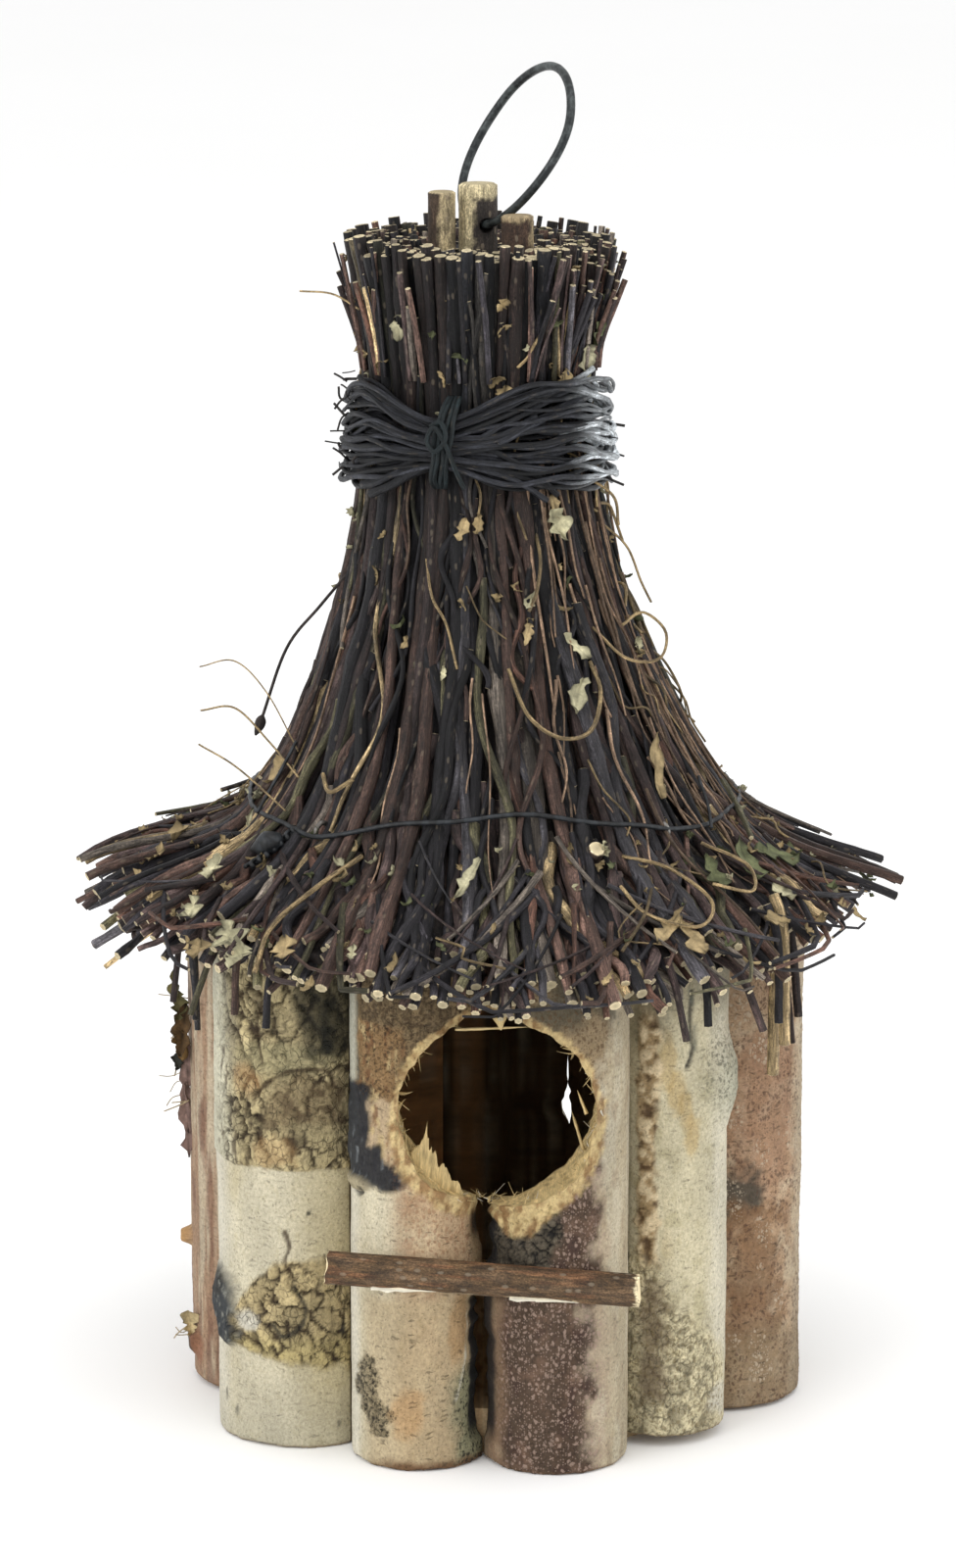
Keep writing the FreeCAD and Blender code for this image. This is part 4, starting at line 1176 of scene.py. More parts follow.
# ---------------------------------------------------------------- perch
def perch_frame():
    """The perch's left end's middle, its ways along, down and out, its radius and its length."""
    points = node_points("perch_stick")
    centred = points - points.mean(axis=0)
    axis = np.linalg.svd(centred, full_matrices=False)[2][0]
    place = centred @ (axis * (1 if axis[0] > 0 else -1))
    left_end, right_end = points[place < place.min() + 0.3], points[place > place.max() - 0.3]
    first, second, width = furthest_pair(left_end)
    along = unit(right_end.mean(axis=0) - left_end.mean(axis=0))
    down = unit(first - second)
    down = down * (-1 if down[2] > 0 else 1)
    out = unit(np.cross(along, down))
    out = out * (1 if out[1] < 0 else -1)
    start = (first + second) / 2 + 1.0 * along
    return start, along, down, out, width / 2, np.ptp(points @ along) + 1.6


def perch_bark_tint(spots):
    """Brown bark with grey and reddish clouds."""
    tint = np.tile(srgb(80, 62, 43), (len(spots), 1))
    tint = tint * (1 + 0.35 * value_noise(spots * [1.0, 5.0, 1.0], 86))[:, None]
    for cloud, share, stretch, salt in ((srgb(98, 78, 58), 0.6, [2.0, 1.5, 1.0], 87),
                                        (srgb(112, 74, 50), 0.4, [1.2, 2.5, 1.0], 88)):
        here = smooth(0.1, 0.5, value_noise(spots * stretch, salt))[:, None]
        tint = tint + (cloud - tint) * share * here
    return tint


def perch_end(shape, ring, order, along):
    """Adds the sawn end within a ring of points; order is -1 at the stick's start and 1 at its end."""
    count = len(ring)
    cap = np.vstack([ring * 0.9 + ring.mean(axis=0) * 0.1 + along * order * 0.08, ring])
    faces = [list(range(count))[::order]]
    faces += [[i, (i + 1) % count, count + (i + 1) % count, count + i][::-order] for i in range(count)]
    shape.add(cap, faces, END_CREAM, [1, 1, 5], 1)


def make_perch():
    """A split stick: brown bark outside, pale split edges along its lower side and at its ends."""
    start, along, down, out, radius, length = perch_frame()
    rows, arc_count, flat_count = 150, 40, 12
    columns = arc_count + flat_count
    place = np.linspace(0, length, rows)
    angle = np.linspace(-90, 90, arc_count)
    x, a = crossed(place, angle)
    spots = np.stack([x * 0.12, np.radians(a) * 1.4, np.full_like(x, 4.0)], 1)
    lift = 0.35 * fractal(spots, 80) + 0.12 * value_noise(spots * 6, 81)
    # The lower edge is chipped lightly all along and deeply over two stretches.
    low_edge = smooth(50, 60, a + 9 * value_noise(spots * 3, 83))
    deep = smooth(8, 10, x) * smooth(22, 20, x) + smooth(34, 36, x) * smooth(49, 46, x)
    chipped = np.maximum(0.2 * smooth(0.1, 0.4, noise_at(x * 0.09, 0, 8, 82)), deep)
    reach = (radius + lift * np.cos(np.radians(a)) - 0.5 * low_edge * chipped).reshape(rows, arc_count, 1)
    r = np.radians(angle)[None, :, None]
    # The stick is flatter than a true half round.
    rounded = start + place[:, None, None] * along + reach * (0.86 * np.cos(r) * out + np.sin(r) * down)
    share = np.linspace(1, -1, flat_count + 2)[1:-1]
    flat = start + place[:, None, None] * along + (share * radius)[None, :, None] * down
    points = np.concatenate([rounded, flat], axis=1)
    skew = 0.5 * value_noise(points.reshape(-1, 3)[:, [2, 2, 1]] * 0.5, 85).reshape(rows, columns, 1)
    points = points + skew * smooth(1.5, 0, np.minimum(place, length - place))[:, None, None] * along
    tint = perch_bark_tint(spots)
    bare = (low_edge * np.maximum(chipped, smooth(80, 88, a)))[:, None]
    at_end = smooth(1.1, 0.5, length - x + 0.5 * value_noise(spots * [1.0, 4.0, 1.0], 89))[:, None]
    tint = tint + (END_CREAM - tint) * np.maximum(bare, at_end)
    tint = np.concatenate([tint.reshape(rows, arc_count, 3), np.tile(TORN, (rows, flat_count, 1))], 1)
    across = np.concatenate([a.reshape(rows, arc_count) / 18, np.tile(share * 3 + 20, (rows, 1))], 1)
    grain = np.stack([across, np.tile(place[:, None], (1, columns)), np.full((rows, columns), 5.0)], -1)
    faces = grid_faces(rows, columns, closed=True)
    slots = ([0] * (arc_count - 1) + [1] * (flat_count + 1)) * (rows - 1)
    shape = Shape()
    shape.add(points.reshape(-1, 3), faces, tint.reshape(-1, 3), grain.reshape(-1, 3), slots)
    perch_end(shape, points[0], -1, along)
    perch_end(shape, points[-1], 1, along)
    slivers = [(8.5, 12.5, 1.5), (11.0, 8.0, 0.8), (35.0, 12.0, 1.0), (40, 9.0, 0.7)]
    for i, (where, reach, width) in enumerate(slivers):
        low_place = start + where * along + radius * (0.98 * down + 0.2 * out)
        sliver(shape, low_place, along + 0.05 * UP, reach, width, PALE * 1.1, 0.04 * down, 90 + i, 1)
    materials = [STICK_BARK, RAW_WOOD]
    add_piece(shape, "perch_split_stick", materials, "perch_wood", "perch_stick", flat_slots=(1,))


make_perch()

# ---------------------------------------------------------------- the roof's line
# Where the outer twigs' middles lie, from the cut tops down over the flare, as (distance, height).
ROOF_LINE = [(25.0, 232.0), (22.9, 217), (21.2, 203), (21.4, 192), (23.2, 178), (26.8, 162), (32.2, 147),
             (39.2, 131.5), (48.0, 118.6), (58.6, 109.4), (69.0, 101.8), (76.5, 96.9)]
ROOF = curve(ROOF_LINE, 300)
ROOF_STEPS = np.concatenate([[0], np.cumsum(np.linalg.norm(np.diff(ROOF, axis=0), axis=1))])
ROOF_END = ROOF_STEPS[-1]
ROOF_SLOPE = unit(np.gradient(ROOF, axis=0))


def roof_point(along, depth):
    """(distance, height) on the roof this far down its line and this deep under the outer twigs."""
    inside = np.clip(along, 0, ROOF_END)
    r, z = (np.interp(inside, ROOF_STEPS, ROOF[:, i]) for i in (0, 1))
    slope_r, slope_z = (np.interp(inside, ROOF_STEPS, ROOF_SLOPE[:, i]) for i in (0, 1))
    past = along - inside
    return r + slope_r * past + slope_z * depth, z + slope_z * past - slope_r * depth


def side_rise(azimuth, along, depth):
    """How much higher than at the front the roof lies at its sides, where its upper twigs flare out."""
    beside = np.abs(np.sin(np.radians(azimuth))) ** 2.2
    top_most = np.interp(azimuth % 360, (0, 90, 180, 270, 360), (0.0, 4.0, 0.0, 10.5, 0.0))
    return beside * top_most * smooth(FLARE + 2, ROOF_END + 2, along) * np.clip(1 - depth / 6, 0, 1.15)


def eave_reach(azimuth):
    """How much further down the roof's line the eave goes here than its usual end."""
    turn = (azimuth + 180) % 360 - 180
    return np.interp(turn, (-140, -95, -74, -52, -25, 0, 20, 42, 58, 90, 112, 150),
                     (0.0, 4.5, 1.0, -6.5, -5.0, -2.0, -2.0, -2.5, -5.5, -5.0, -4.5, 0.0))


def along_at(height):
    """How far down the roof line a height is."""
    return float(np.interp(-height, -ROOF[:, 1], ROOF_STEPS))


def roof_distance(height):
    """How far from the axis the roof's line is at each height."""
    return np.interp(-height, -ROOF[:, 1], ROOF[:, 0])


NECK = along_at(196)
FLARE = along_at(121)

TWIG_TINTS = [
    (srgb(56, 45, 43), 5), (srgb(32, 30, 33), 6.5), (srgb(72, 55, 48), 2.8), (srgb(92, 84, 76), 1.4),
    (srgb(57, 55, 58), 1.3), (srgb(80, 76, 56), 0.7), (srgb(152, 132, 98), 0.6), (srgb(84, 60, 50), 0.9),
]
TINT_SHARES = np.array([share for _, share in TWIG_TINTS]) / sum(share for _, share in TWIG_TINTS)


def twig_tint(rng):
    """One twig's colour."""
    return TWIG_TINTS[rng.choice(len(TWIG_TINTS), p=TINT_SHARES)][0] * rng.uniform(0.4, 1.45)


def end_tint(rng):
    """The colour of one twig's cut ends."""
    return END_CREAM * rng.uniform(0.5, 1.1)


def lay_twig(shape, rng, azimuth, start, stop, depth, radius, wander=2.0, lean=0.0, sides=7, count=40):
    """Lays one twig down the roof line, wandering a little sideways and in depth."""
    t = np.linspace(0, 1, count)
    along = start + (stop - start) * t
    phase, second = rng.uniform(0, 2 * math.pi, 2)
    waves = np.sin(phase + 5.5 * t) + 0.5 * np.sin(second + 13.0 * t)
    loose = smooth(NECK - 8, NECK + 45, along)
    swell = 0.45 * loose * (np.sin(second + 7.5 * t) + 0.6 * np.sin(phase + 17 * t))
    spread = rng.uniform(-0.4, 1.0) * smooth(14, 0, along) ** 2
    r, z = roof_point(along, depth + swell - spread)
    z = z + side_rise(azimuth, along, depth) * rng.uniform(0.6, 1.1)
    degrees = azimuth + (wander * waves * (0.25 + loose) / np.maximum(r, 12)) * 57.3
    degrees = degrees + np.degrees(lean * np.maximum(along - start, 0) / np.maximum(r, 20))
    width = radius * (1 + 0.05 * np.sin(phase + 21 * t)) * (1.02 + 0.14 * loose - 0.16 * t)
    for bud in rng.uniform(0.05, 0.95, max(1, count // 7)):
        width = width * (1 + rng.uniform(0.1, 0.3) * np.exp(-(((t - bud) * count / 1.3) ** 2)))
    mottle = 1 + 0.42 * np.sin(phase + 9 * t) * np.sin(second + 23 * t)
    # Painted shade: the twigs are made darker from the neck down to the middle of the roof. Painted highlight:
    # they are made lighter towards the eave.
    neck_shade = smooth(NECK + 58, NECK - 12, along)[:, None]
    lower = smooth(FLARE - 10, ROOF_END, along)[:, None]
    mottle = 0.76 * mottle[:, None] * (1 - [0.66, 0.63, 0.59] * neck_shade) * (1 + 1.5 * lower)
    tint = twig_tint(rng) * mottle
    rod(shape, at(degrees, r, z), width, tint, end_tint(rng), sides, rng.uniform(0, 900), 0.14)


def add_twigs(shape, name, *nodes):
    """A leaning piece of twigs with light cut ends."""
    add_piece(shape, name, [TWIG_BARK, TWIG_END], "twig_thatch", *nodes, flat_slots=(1,), leans=True)


LONG_TWIGS = 64  # round the whole roof, in each of two layers
THIN_TWIGS, LOOSE_TWIGS, EAVE_TWIGS, LOW_TWIGS = 11, 7, 34, 22  # in each sheaf
SHEAVES = [n for n in sorted(frame["nodes"]) if n.startswith("twig_sheaf_")]


def make_sheaf(index):
    """One sheaf of thatch: two layers of long twigs, thin ones among them and the eave's shorter ones."""
    rng = np.random.default_rng(100 + index)
    shape = Shape()
    width = 360.0 / len(SHEAVES)
    first = index * width
    long_count = LONG_TWIGS / len(SHEAVES)
    for layer, depth in ((0, 0.0), (1, 1.9)):
        slots = np.arange(math.ceil(index * long_count), math.ceil((index + 1) * long_count))
        for slot in slots:
            azimuth = (slot + 0.5 * layer + rng.uniform(-0.3, 0.3)) * 360.0 / LONG_TWIGS
            right_side = smooth(20, 70, (azimuth + 180) % 360 - 180)
            start = rng.uniform(-0.7, 2.6) + layer * 0.6 + right_side * rng.uniform(-0.5, 4)
            stop = ROOF_END + rng.uniform(-8, 1.5) - 2.0 * layer + eave_reach(azimuth)
            lay_twig(shape, rng, azimuth, start, stop, depth + rng.uniform(-0.35, 0.7),
                     rng.uniform(0.88, 1.36), 1.15, rng.uniform(-0.028, 0.028), 8, 54)
    for _ in range(THIN_TWIGS):
        azimuth = first + width * rng.random()
        start, length = rng.uniform(0, 60), rng.uniform(30, 90)
        stop = min(start + length, ROOF_END - 4)
        lay_twig(shape, rng, azimuth, start, stop, rng.uniform(-1.0, 0.2), rng.uniform(0.26, 0.6), 2.6,
                 rng.uniform(-0.08, 0.08), 5, 34)
    for _ in range(LOOSE_TWIGS):
        azimuth = first + width * rng.random()
        start = rng.uniform(NECK + 12, FLARE - 8)
        lay_twig(shape, rng, azimuth, start, ROOF_END + rng.uniform(-12, 0) + eave_reach(azimuth),
                 rng.uniform(-0.4, 1.6), rng.uniform(0.6, 1.15), 1.8, rng.uniform(-0.12, 0.12), 7, 36)
    for i in range(EAVE_TWIGS):
        azimuth = first + width * (i + rng.random()) / EAVE_TWIGS
        beside = abs(math.sin(math.radians(azimuth)))
        start = FLARE + rng.uniform(-14, 16)
        stop = ROOF_END + rng.uniform(-14, 2.5) + 1.2 * eave_reach(azimuth)
        lean = rng.uniform(-0.2, 0.2) * (1 + 1.2 * beside)
        lay_twig(shape, rng, azimuth, start, stop, rng.uniform(-0.4, 5.4), rng.uniform(0.5, 1.1), 1.4,
                 lean, 6, 16)
    for i in range(LOW_TWIGS):
        azimuth = first + width * (i + rng.random()) / LOW_TWIGS
        stop = ROOF_END - rng.uniform(3, 17) + eave_reach(azimuth)
        lay_twig(shape, rng, azimuth, FLARE + rng.uniform(4, 12), stop, rng.uniform(4.6, 8.0),
                 rng.uniform(0.7, 1.2), 1.0, rng.uniform(-0.25, 0.25), 6, 12)
    add_twigs(shape, f"thatch_sheaf_{index + 1:02d}", SHEAVES[index])


for sheaf_index in range(len(SHEAVES)):
    make_sheaf(sheaf_index)


def make_inner_thatch():
    """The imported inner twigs: a bell of ridges like twigs laid side by side, closed underneath."""
    ridges, columns = 84, 504
    under_r, under_z = 58.0, node_box("ceiling_disc")[1][2] + 0.5
    r_down, z_down = roof_point(np.linspace(4, ROOF_END - 15, 110), 3.9)
    back = np.linspace(0, 1, 16)[1:]
    tip_r, tip_z = r_down[-1], z_down[-1]
    r_under = np.concatenate([[tip_r - 1.2], tip_r - 1.2 + (under_r - tip_r + 1.2) * back])
    z_under = np.concatenate([[tip_z - 2.4], tip_z - 2.4 + (under_z - tip_z + 2.4) * back])
    r = np.concatenate([[1.0, 14.0], r_down, r_under, [40.0, 1.0]])
    z = np.concatenate([[z_down[0] - 1] * 2, z_down, z_under, [under_z] * 2])
    turn = np.linspace(0, 360, columns, endpoint=False)
    sway = 1.2 * np.sin(np.linspace(0, 9, len(r)))
    wave = np.abs(np.sin(np.radians(turn[None] + sway[:, None]) * ridges / 2))
    ridge = 0.95 * (wave - 0.4) * smooth(10, 20, r)[:, None]
    points = at(turn[None], r[:, None] + ridge, z[:, None] + 0.3 * ridge)
    # Painted shade: the bell is near black and darker still in the grooves between its ridges, for the shade in
    # the gaps between the outer twigs.
    tint = srgb(34, 28, 26) * (0.55 + 0.6 * wave)[:, :, None]
    down = np.broadcast_to(np.arange(len(r))[:, None] * 1.4, wave.shape)
    around = np.broadcast_to(turn[None] * 0.6, wave.shape)
    grain = np.stack([around, down, np.full_like(wave, 2.0)], -1)
    shape = Shape()
    faces = tube_faces(len(r), columns)
    shape.add(points.reshape(-1, 3), faces, tint.reshape(-1, 3), grain.reshape(-1, 3))
    add_piece(shape, "thatch_inner_twigs", [TWIG_BARK], "twig_thatch", "thatch_core", leans=True)


make_inner_thatch()

STAKES = {name: node_box(name) for name in ("stake_tall", "stake_slim", "stake_short")}


BUNDLE_RADIUS = 23.0  # at its top, inside the outer twigs


def pack_ends(shape, rng, attempts):
    """Cut ends wherever there is room inside the bundle's top, round the stakes, the thick ones first."""
    stakes = []
    for low, high in STAKES.values():
        middle = (low + high) / 2
        stakes.append((middle[0] + NECK_LEAN, middle[1], (high[0] - low[0]) / 2))
    placed = []
    for attempt in range(attempts):
        reach, azimuth = BUNDLE_RADIUS * math.sqrt(rng.random()), rng.uniform(0, 360)
        x, y, _ = at(azimuth, reach, 0)
        radius = rng.uniform(0.6, 1.25) if attempt < 4000 else rng.uniform(0.35, 0.6)
        if any(math.hypot(x - sx, y - sy) < sr + radius + 0.1 for sx, sy, sr in stakes):
            continue
        if any(math.hypot(x - px, y - py) < radius + pr - 0.15 for px, py, pr in placed):
            continue
        placed.append((x, y, radius))
        top = 228.0 + 2.6 * (reach / BUNDLE_RADIUS) ** 2 + rng.uniform(-2.6, 0.7)
        foot = np.array([x * 0.94, y * 0.94, 219.0])
        path = np.linspace(foot, np.array([x, y, top]), 5)
        path = path + 0.25 * rng.normal(size=(5, 3)) * np.array([1, 1, 0])
        rod(shape, path, radius, twig_tint(rng), end_tint(rng), 7, rng.uniform(0, 900), 0.08)


def splay_ends(shape, rng, count):
    """Thin twigs that splay out round the bundle's top, most of them at its right."""
    for _ in range(count):
        azimuth = rng.choice([rng.uniform(25, 115), rng.uniform(-180, 180)], p=[0.65, 0.35])
        foot, reach = rng.uniform(21.8, 23.4), rng.uniform(24.0, 28.6)
        top = rng.uniform(222.0, 232.8) - 0.5 * (reach - 24)
        drift = rng.uniform(-9, 9)
        halfway = at(azimuth + 0.4 * drift, 0.5 * (foot + reach) - 0.3, 0.5 * (206 + top))
        path = [at(azimuth, foot, 206.0), halfway, at(azimuth + drift, reach, top)]
        rod(shape, curve(path, 14), rng.uniform(0.22, 0.75), twig_tint(rng) * rng.uniform(0.8, 2.2),
            end_tint(rng), 6, rng.uniform(0, 900), 0.12)


def make_rim_ends():
    """The cut twig ends in the top of the bundle."""
    rng = np.random.default_rng(7)
    shape = Shape()
    pack_ends(shape, rng, 11000)
    splay_ends(shape, rng, 130)
    add_twigs(shape, "bundle_top_twigs")


make_rim_ends()


# ---------------------------------------------------------------- stakes and the hanging ring
def make_stake(node, piece, tint, cut, seed, peeled, chips=()):
    """A round stake with a cut top and bark, but for where peeled(azimuth, distance below the top) is 1."""
    low, high = STAKES[node]
    centre, radius = (low + high) / 2, (high[0] - low[0]) / 2
    rng = np.random.default_rng(seed)
    heights = [np.linspace(low[2], high[2] - 26, 12), np.linspace(high[2] - 25, high[2] - 0.2, 50)]
    heights = np.concatenate(heights)
    path = np.stack(np.broadcast_arrays(centre[0], centre[1], heights), axis=1)
    wobble = 0.12 * np.sin(heights[:, None] * [0.13, 0.17] + rng.uniform(0, 6, 2))
    path[:, :2] += wobble * smooth(low[2] + 2, low[2] + 20, heights)[:, None]
    shape = Shape()
    rod(shape, path, radius * 0.985, tint, cut, 28, seed * 3.3, 0.035)
    points, tints = shape.points[0], shape.tint[0]
    ragged = 14 * value_noise(points * [0.8, 0.8, 0.5], seed) + 6 * value_noise(points * 2.2, seed)
    turn = np.degrees(np.arctan2(points[:, 0] - centre[0], centre[1] - points[:, 1]))
    bare = peeled(turn + ragged, high[2] - points[:, 2] + 0.06 * ragged)[:, None]
    wood = cut * (0.8 + 0.25 * value_noise(points * [1.5, 1.5, 0.2], seed + 1))[:, None]
    shape.tint[0] = tints + (wood - tints) * bare
    for i, (dx, dy, lean, length, width) in enumerate(chips):
        start = np.array([centre[0] + dx, centre[1] + dy, high[2] - 0.8])
        sliver(shape, start, (lean, 0.1, 1.0), length, width, cut, (0.15, 0, 0), seed + i, 1)
    return make(shape, piece, [STICK_BARK, RAW_WOOD], flat_slots=(1,))


JOINT = frame["joints"][0]
PIVOT = np.array(JOINT["pos_m"]) / MM
SWING_AXIS = unit(JOINT["axis"])
RING_WIRE_RADIUS = 0.85
BORE_RADIUS = 1.5


def bore_cutter():
    """A rod a little wider than the ring's wire, along its hinge."""
    shape = Shape()
    path = np.linspace(PIVOT - SWING_AXIS * 9, PIVOT + SWING_AXIS * 9, 4)
    # The cutter's very dark tint is painted shade for the bore's wall.
    rod(shape, path, BORE_RADIUS, DARK_BROWN * 0.3, None, 20)
    return make(shape, "bore_cutter", [RAW_WOOD])


def darken_bore(mesh):
    """Paints shade into the bore: a dark tint on its wall and round its mouths."""
    tints = np.zeros(len(mesh.vertices) * 4, np.float32)
    mesh.attributes["tint"].data.foreach_get("color", tints)
    tints = tints.reshape(-1, 4)[:, :3]
    from_pivot = mesh_points(mesh) - PIVOT
    reach = np.linalg.norm(from_pivot - np.outer(from_pivot @ SWING_AXIS, SWING_AXIS), axis=1)
    # Painted shade within about 2 mm of the bore's axis.
    darker = (srgb(30, 25, 22) - tints) * smooth(2.2, 1.6, reach)[:, None]
    paint(mesh, "tint", tints + darker, "FLOAT_COLOR")


def make_stakes():
    """The three stakes, peeled and chipped in places; the tall one has the ring's bore."""
    tall = make_stake("stake_tall", "stake_tall_bark", srgb(50, 44, 40), srgb(196, 182, 146), 21,
                      lambda turn, below: np.maximum(smooth(3.0, 2.0, below), smooth(-8, -18, turn)),
                      [(1.7, -1.2, 0.5, 3.6, 2.0), (0.4, -1.8, 0.1, 1.6, 1.8), (2.4, 0.6, 0.9, 2.4, 1.2)])
    cutter = bore_cutter()
    carve(tall, cutter)
    bpy.data.objects.remove(cutter)
    darken_bore(tall.data)
    finish_piece(tall, "house", "stake_wood", "stake_tall")
    slim = make_stake("stake_slim", "stake_slim_bark", srgb(62, 50, 40), srgb(176, 160, 126), 22,
                      lambda turn, below: smooth(-12, 0, turn))
    finish_piece(slim, "house", "stake_wood", "stake_slim")
    short = make_stake("stake_short", "stake_short_bark", srgb(66, 50, 40), srgb(160, 142, 110), 23,
                       lambda turn, below: np.maximum(smooth(40, 54, turn), smooth(0.7, 0.4, below)))
    finish_piece(short, "house", "stake_wood", "stake_short")


make_stakes()


def make_ring():
    """The hanging ring: one turn of wire, a touch out of round, with its ends butted in the bore."""
    points = node_points("hanger_ring")
    centre = (points.min(axis=0) + points.max(axis=0)) / 2
    normal = np.linalg.svd(points - points.mean(axis=0), full_matrices=False)[2][2]
    to_pivot = PIVOT - centre
    reach = np.linalg.norm(to_pivot)
    first, second = unit(to_pivot), unit(np.cross(normal, to_pivot))
    turn = np.linspace(0, 2 * math.pi, 181)[:-1]
    # The top is pulled out a little, and the pivot's side keeps its place in the bore.
    top = 0.5 - 0.5 * np.cos(turn)
    radius = reach * (1 + 0.012 * top * np.sin(2 * turn + 0.6))
    path = centre + (radius * np.cos(turn))[:, None] * first + (radius * np.sin(turn))[:, None] * second
    path = path + (0.18 * top * np.sin(turn * 3))[:, None] * normal
    path[:, 0] += 2.4 * smooth(0.04, 0.75, top)
    sides = 14
    tangent = unit(np.roll(path, -1, axis=0) - np.roll(path, 1, axis=0))
    outward = unit(path - centre)
    over = np.cross(tangent, outward)
    around = np.linspace(0, 2 * math.pi, sides, endpoint=False)
    body = (path[:, None] + RING_WIRE_RADIUS * circles(around, outward, over)).reshape(-1, 3)
    faces = grid_faces(len(path), sides, closed=True)
    last = (len(path) - 1) * sides
    faces += [[last + i, last + (i + 1) % sides, (i + 1) % sides, i] for i in range(sides)]
    shape = Shape()
    shape.add(body, faces, DARK_BROWN, [0, 0, 0])
    add_piece(shape, "hanging_ring_wire", [BLACK_WIRE], "black_wire", "hanger_ring", body="hanger")


make_ring()

# ---------------------------------------------------------------- neck binding
BINDING_MIDDLE = sum(node_box("neck_binding"))[2] / 2
TIE_MIDDLE = sum(node_box("binding_tie")) / 2
TIE_AZIMUTH = math.degrees(math.atan2(TIE_MIDDLE[0], -TIE_MIDDLE[1]))


def strand_tint(rng, azimuth):
    """Near black, with a painted grey-blue highlight at the strands' right side, where the light catches them."""
    # Painted highlight: the grey that the strands are given at their right side.
    grey = srgb(206, 212, 216) * rng.uniform(0.15, 1.15)
    dark = srgb(30, 31, 35) * rng.uniform(0.25, 2.1)
    edge = rng.uniform(-7, 7)
    share = 0.9 * smooth(42 + edge, 60 + edge, azimuth) * smooth(116, 96, azimuth)
    streak = 1 + 0.25 * np.sin(azimuth * 0.21 + edge) * np.sin(azimuth * 0.37 + 3 * edge)
    return (dark + (grey - dark) * share[:, None]) * streak[:, None]


def wind_strand(shape, path, radius, azimuth, rng):
    """Adds one strand of the binding, with strand_tint along it."""
    seed = rng.uniform(0, 900)
    rod(shape, path, radius, strand_tint(rng, azimuth), srgb(110, 104, 92), 7, seed, 0.16)


def wind_strands(shape, rng, count):
    """Strands wound once round the neck, gathered by the tie and fanned out to its right."""
    for i in range(count):
        level = -1 + 2 * (i + 0.5) / count
        azimuth = np.linspace(-180, 180, 160)
        a = np.radians(azimuth)
        from_tie = (azimuth - TIE_AZIMUTH + 180) % 360 - 180
        gather = np.exp(-((from_tie / 25) ** 2))
        phases = rng.uniform(0, 2 * math.pi, 4)
        drift = np.sin(a + phases[0]) + 0.6 * np.sin(a * 3 + phases[1]) + 0.35 * np.sin(a * 8 + phases[3])
        fan = smooth(10, 90, from_tie) * smooth(170, 110, from_tie)
        behind = smooth(45, 100, np.abs(azimuth))
        height = BINDING_MIDDLE + level * 10.2 * (1 - 0.62 * gather) * (1 - 0.22 * behind)
        height = height + 1.3 * drift * (1 - 0.5 * gather) + fan * level * 1.4 - 1.2 * gather - 3.8 * behind
        snug = roof_distance(height) + 1.35
        reach = snug + 0.9 + 1.25 * (i % 3) + 1.0 * gather + 0.3 * np.sin(a * 4 + phases[2])
        path = at(azimuth, reach, height)
        path[0] = path[-1] = (path[0] + path[-1]) / 2
        wind_strand(shape, path, rng.uniform(0.3, 0.68), azimuth, rng)


def cross_strands(shape, rng):
    """Strands that cross the others, as (azimuth, height from the binding's middle) places."""
    crossing = [
        [(-62, -6.5), (-34, -4.0), (-12, 0.5), (12, 4.8), (38, 8.6), (62, 11.5)],
        [(-66, 9.6), (-34, 5.4), (-14, 1.5), (8, -2.5), (26, -7.5), (36, -11.5)],
        [(-30, 3.0), (-8, -1.0), (10, 2.8), (30, 6.4), (52, 9.2)],
        [(-40, -7.8), (-22, -5.0), (-2, -5.2), (16, -8.0), (30, -12.2)],
        [(-26, -1.0), (-6, -3.6), (14, -6.6), (33, -10.0)],
        [(8, -0.6), (24, 2.6), (44, 5.4), (66, 6.8)],
        [(-58, -10.6), (-44, -9.0), (-30, -5.0), (-18, -2.0)],
        [(-50, -11.8), (-38, -9.4), (-26, -6.0), (-16, -4.0)],
        [(-70, 7.0), (-46, 5.8), (-28, 3.0), (-16, 1.0), (6, 0.6), (26, 4.0)],
    ]
    for places in crossing:
        line = curve(places, 40)
        height = BINDING_MIDDLE + line[:, 1]
        snug = roof_distance(height)
        lift = 5.0 - 1.8 * smooth(20, 60, np.abs(line[:, 0] - TIE_AZIMUTH))
        path = at(line[:, 0], snug + lift, height)
        wind_strand(shape, path, rng.uniform(0.55, 0.95), line[:, 0], rng)


def binding_hairs(shape, rng, count):
    """Short frayed hairs, most of them at the binding's two sides."""
    for i in range(count):
        azimuth = rng.choice([-84, -76, -92, -66, -100, 62, 84, 150, 200]) + rng.uniform(-14, 14)
        height = BINDING_MIDDLE + rng.uniform(-12, 8)
        start = at(azimuth, 25.5, height)
        way = unit(at(azimuth, 1.0, 0) + rng.uniform(-0.9, 0.9, 3) * [0.6, 0.6, 1.0])
        path = curve([start, start + way * 1.6 + rng.uniform(-0.5, 0.5, 3),
                      start + way * rng.uniform(2.0, 4.2) + rng.uniform(-1, 1, 3)], 8)
        rod(shape, path, rng.uniform(0.1, 0.34), srgb(36, 32, 30), None, 5, i)


def make_binding():
    """Dark strands wound round the neck and tied at the front."""
    rng = np.random.default_rng(31)
    shape = Shape()
    wind_strands(shape, rng, 46)
    cross_strands(shape, rng)
    binding_hairs(shape, rng, 26)
    materials = [STRAND_BARK, TWIG_END]
    add_piece(shape, "neck_binding_strands", materials, "dark_binding", "neck_binding", leans=True)


make_binding()


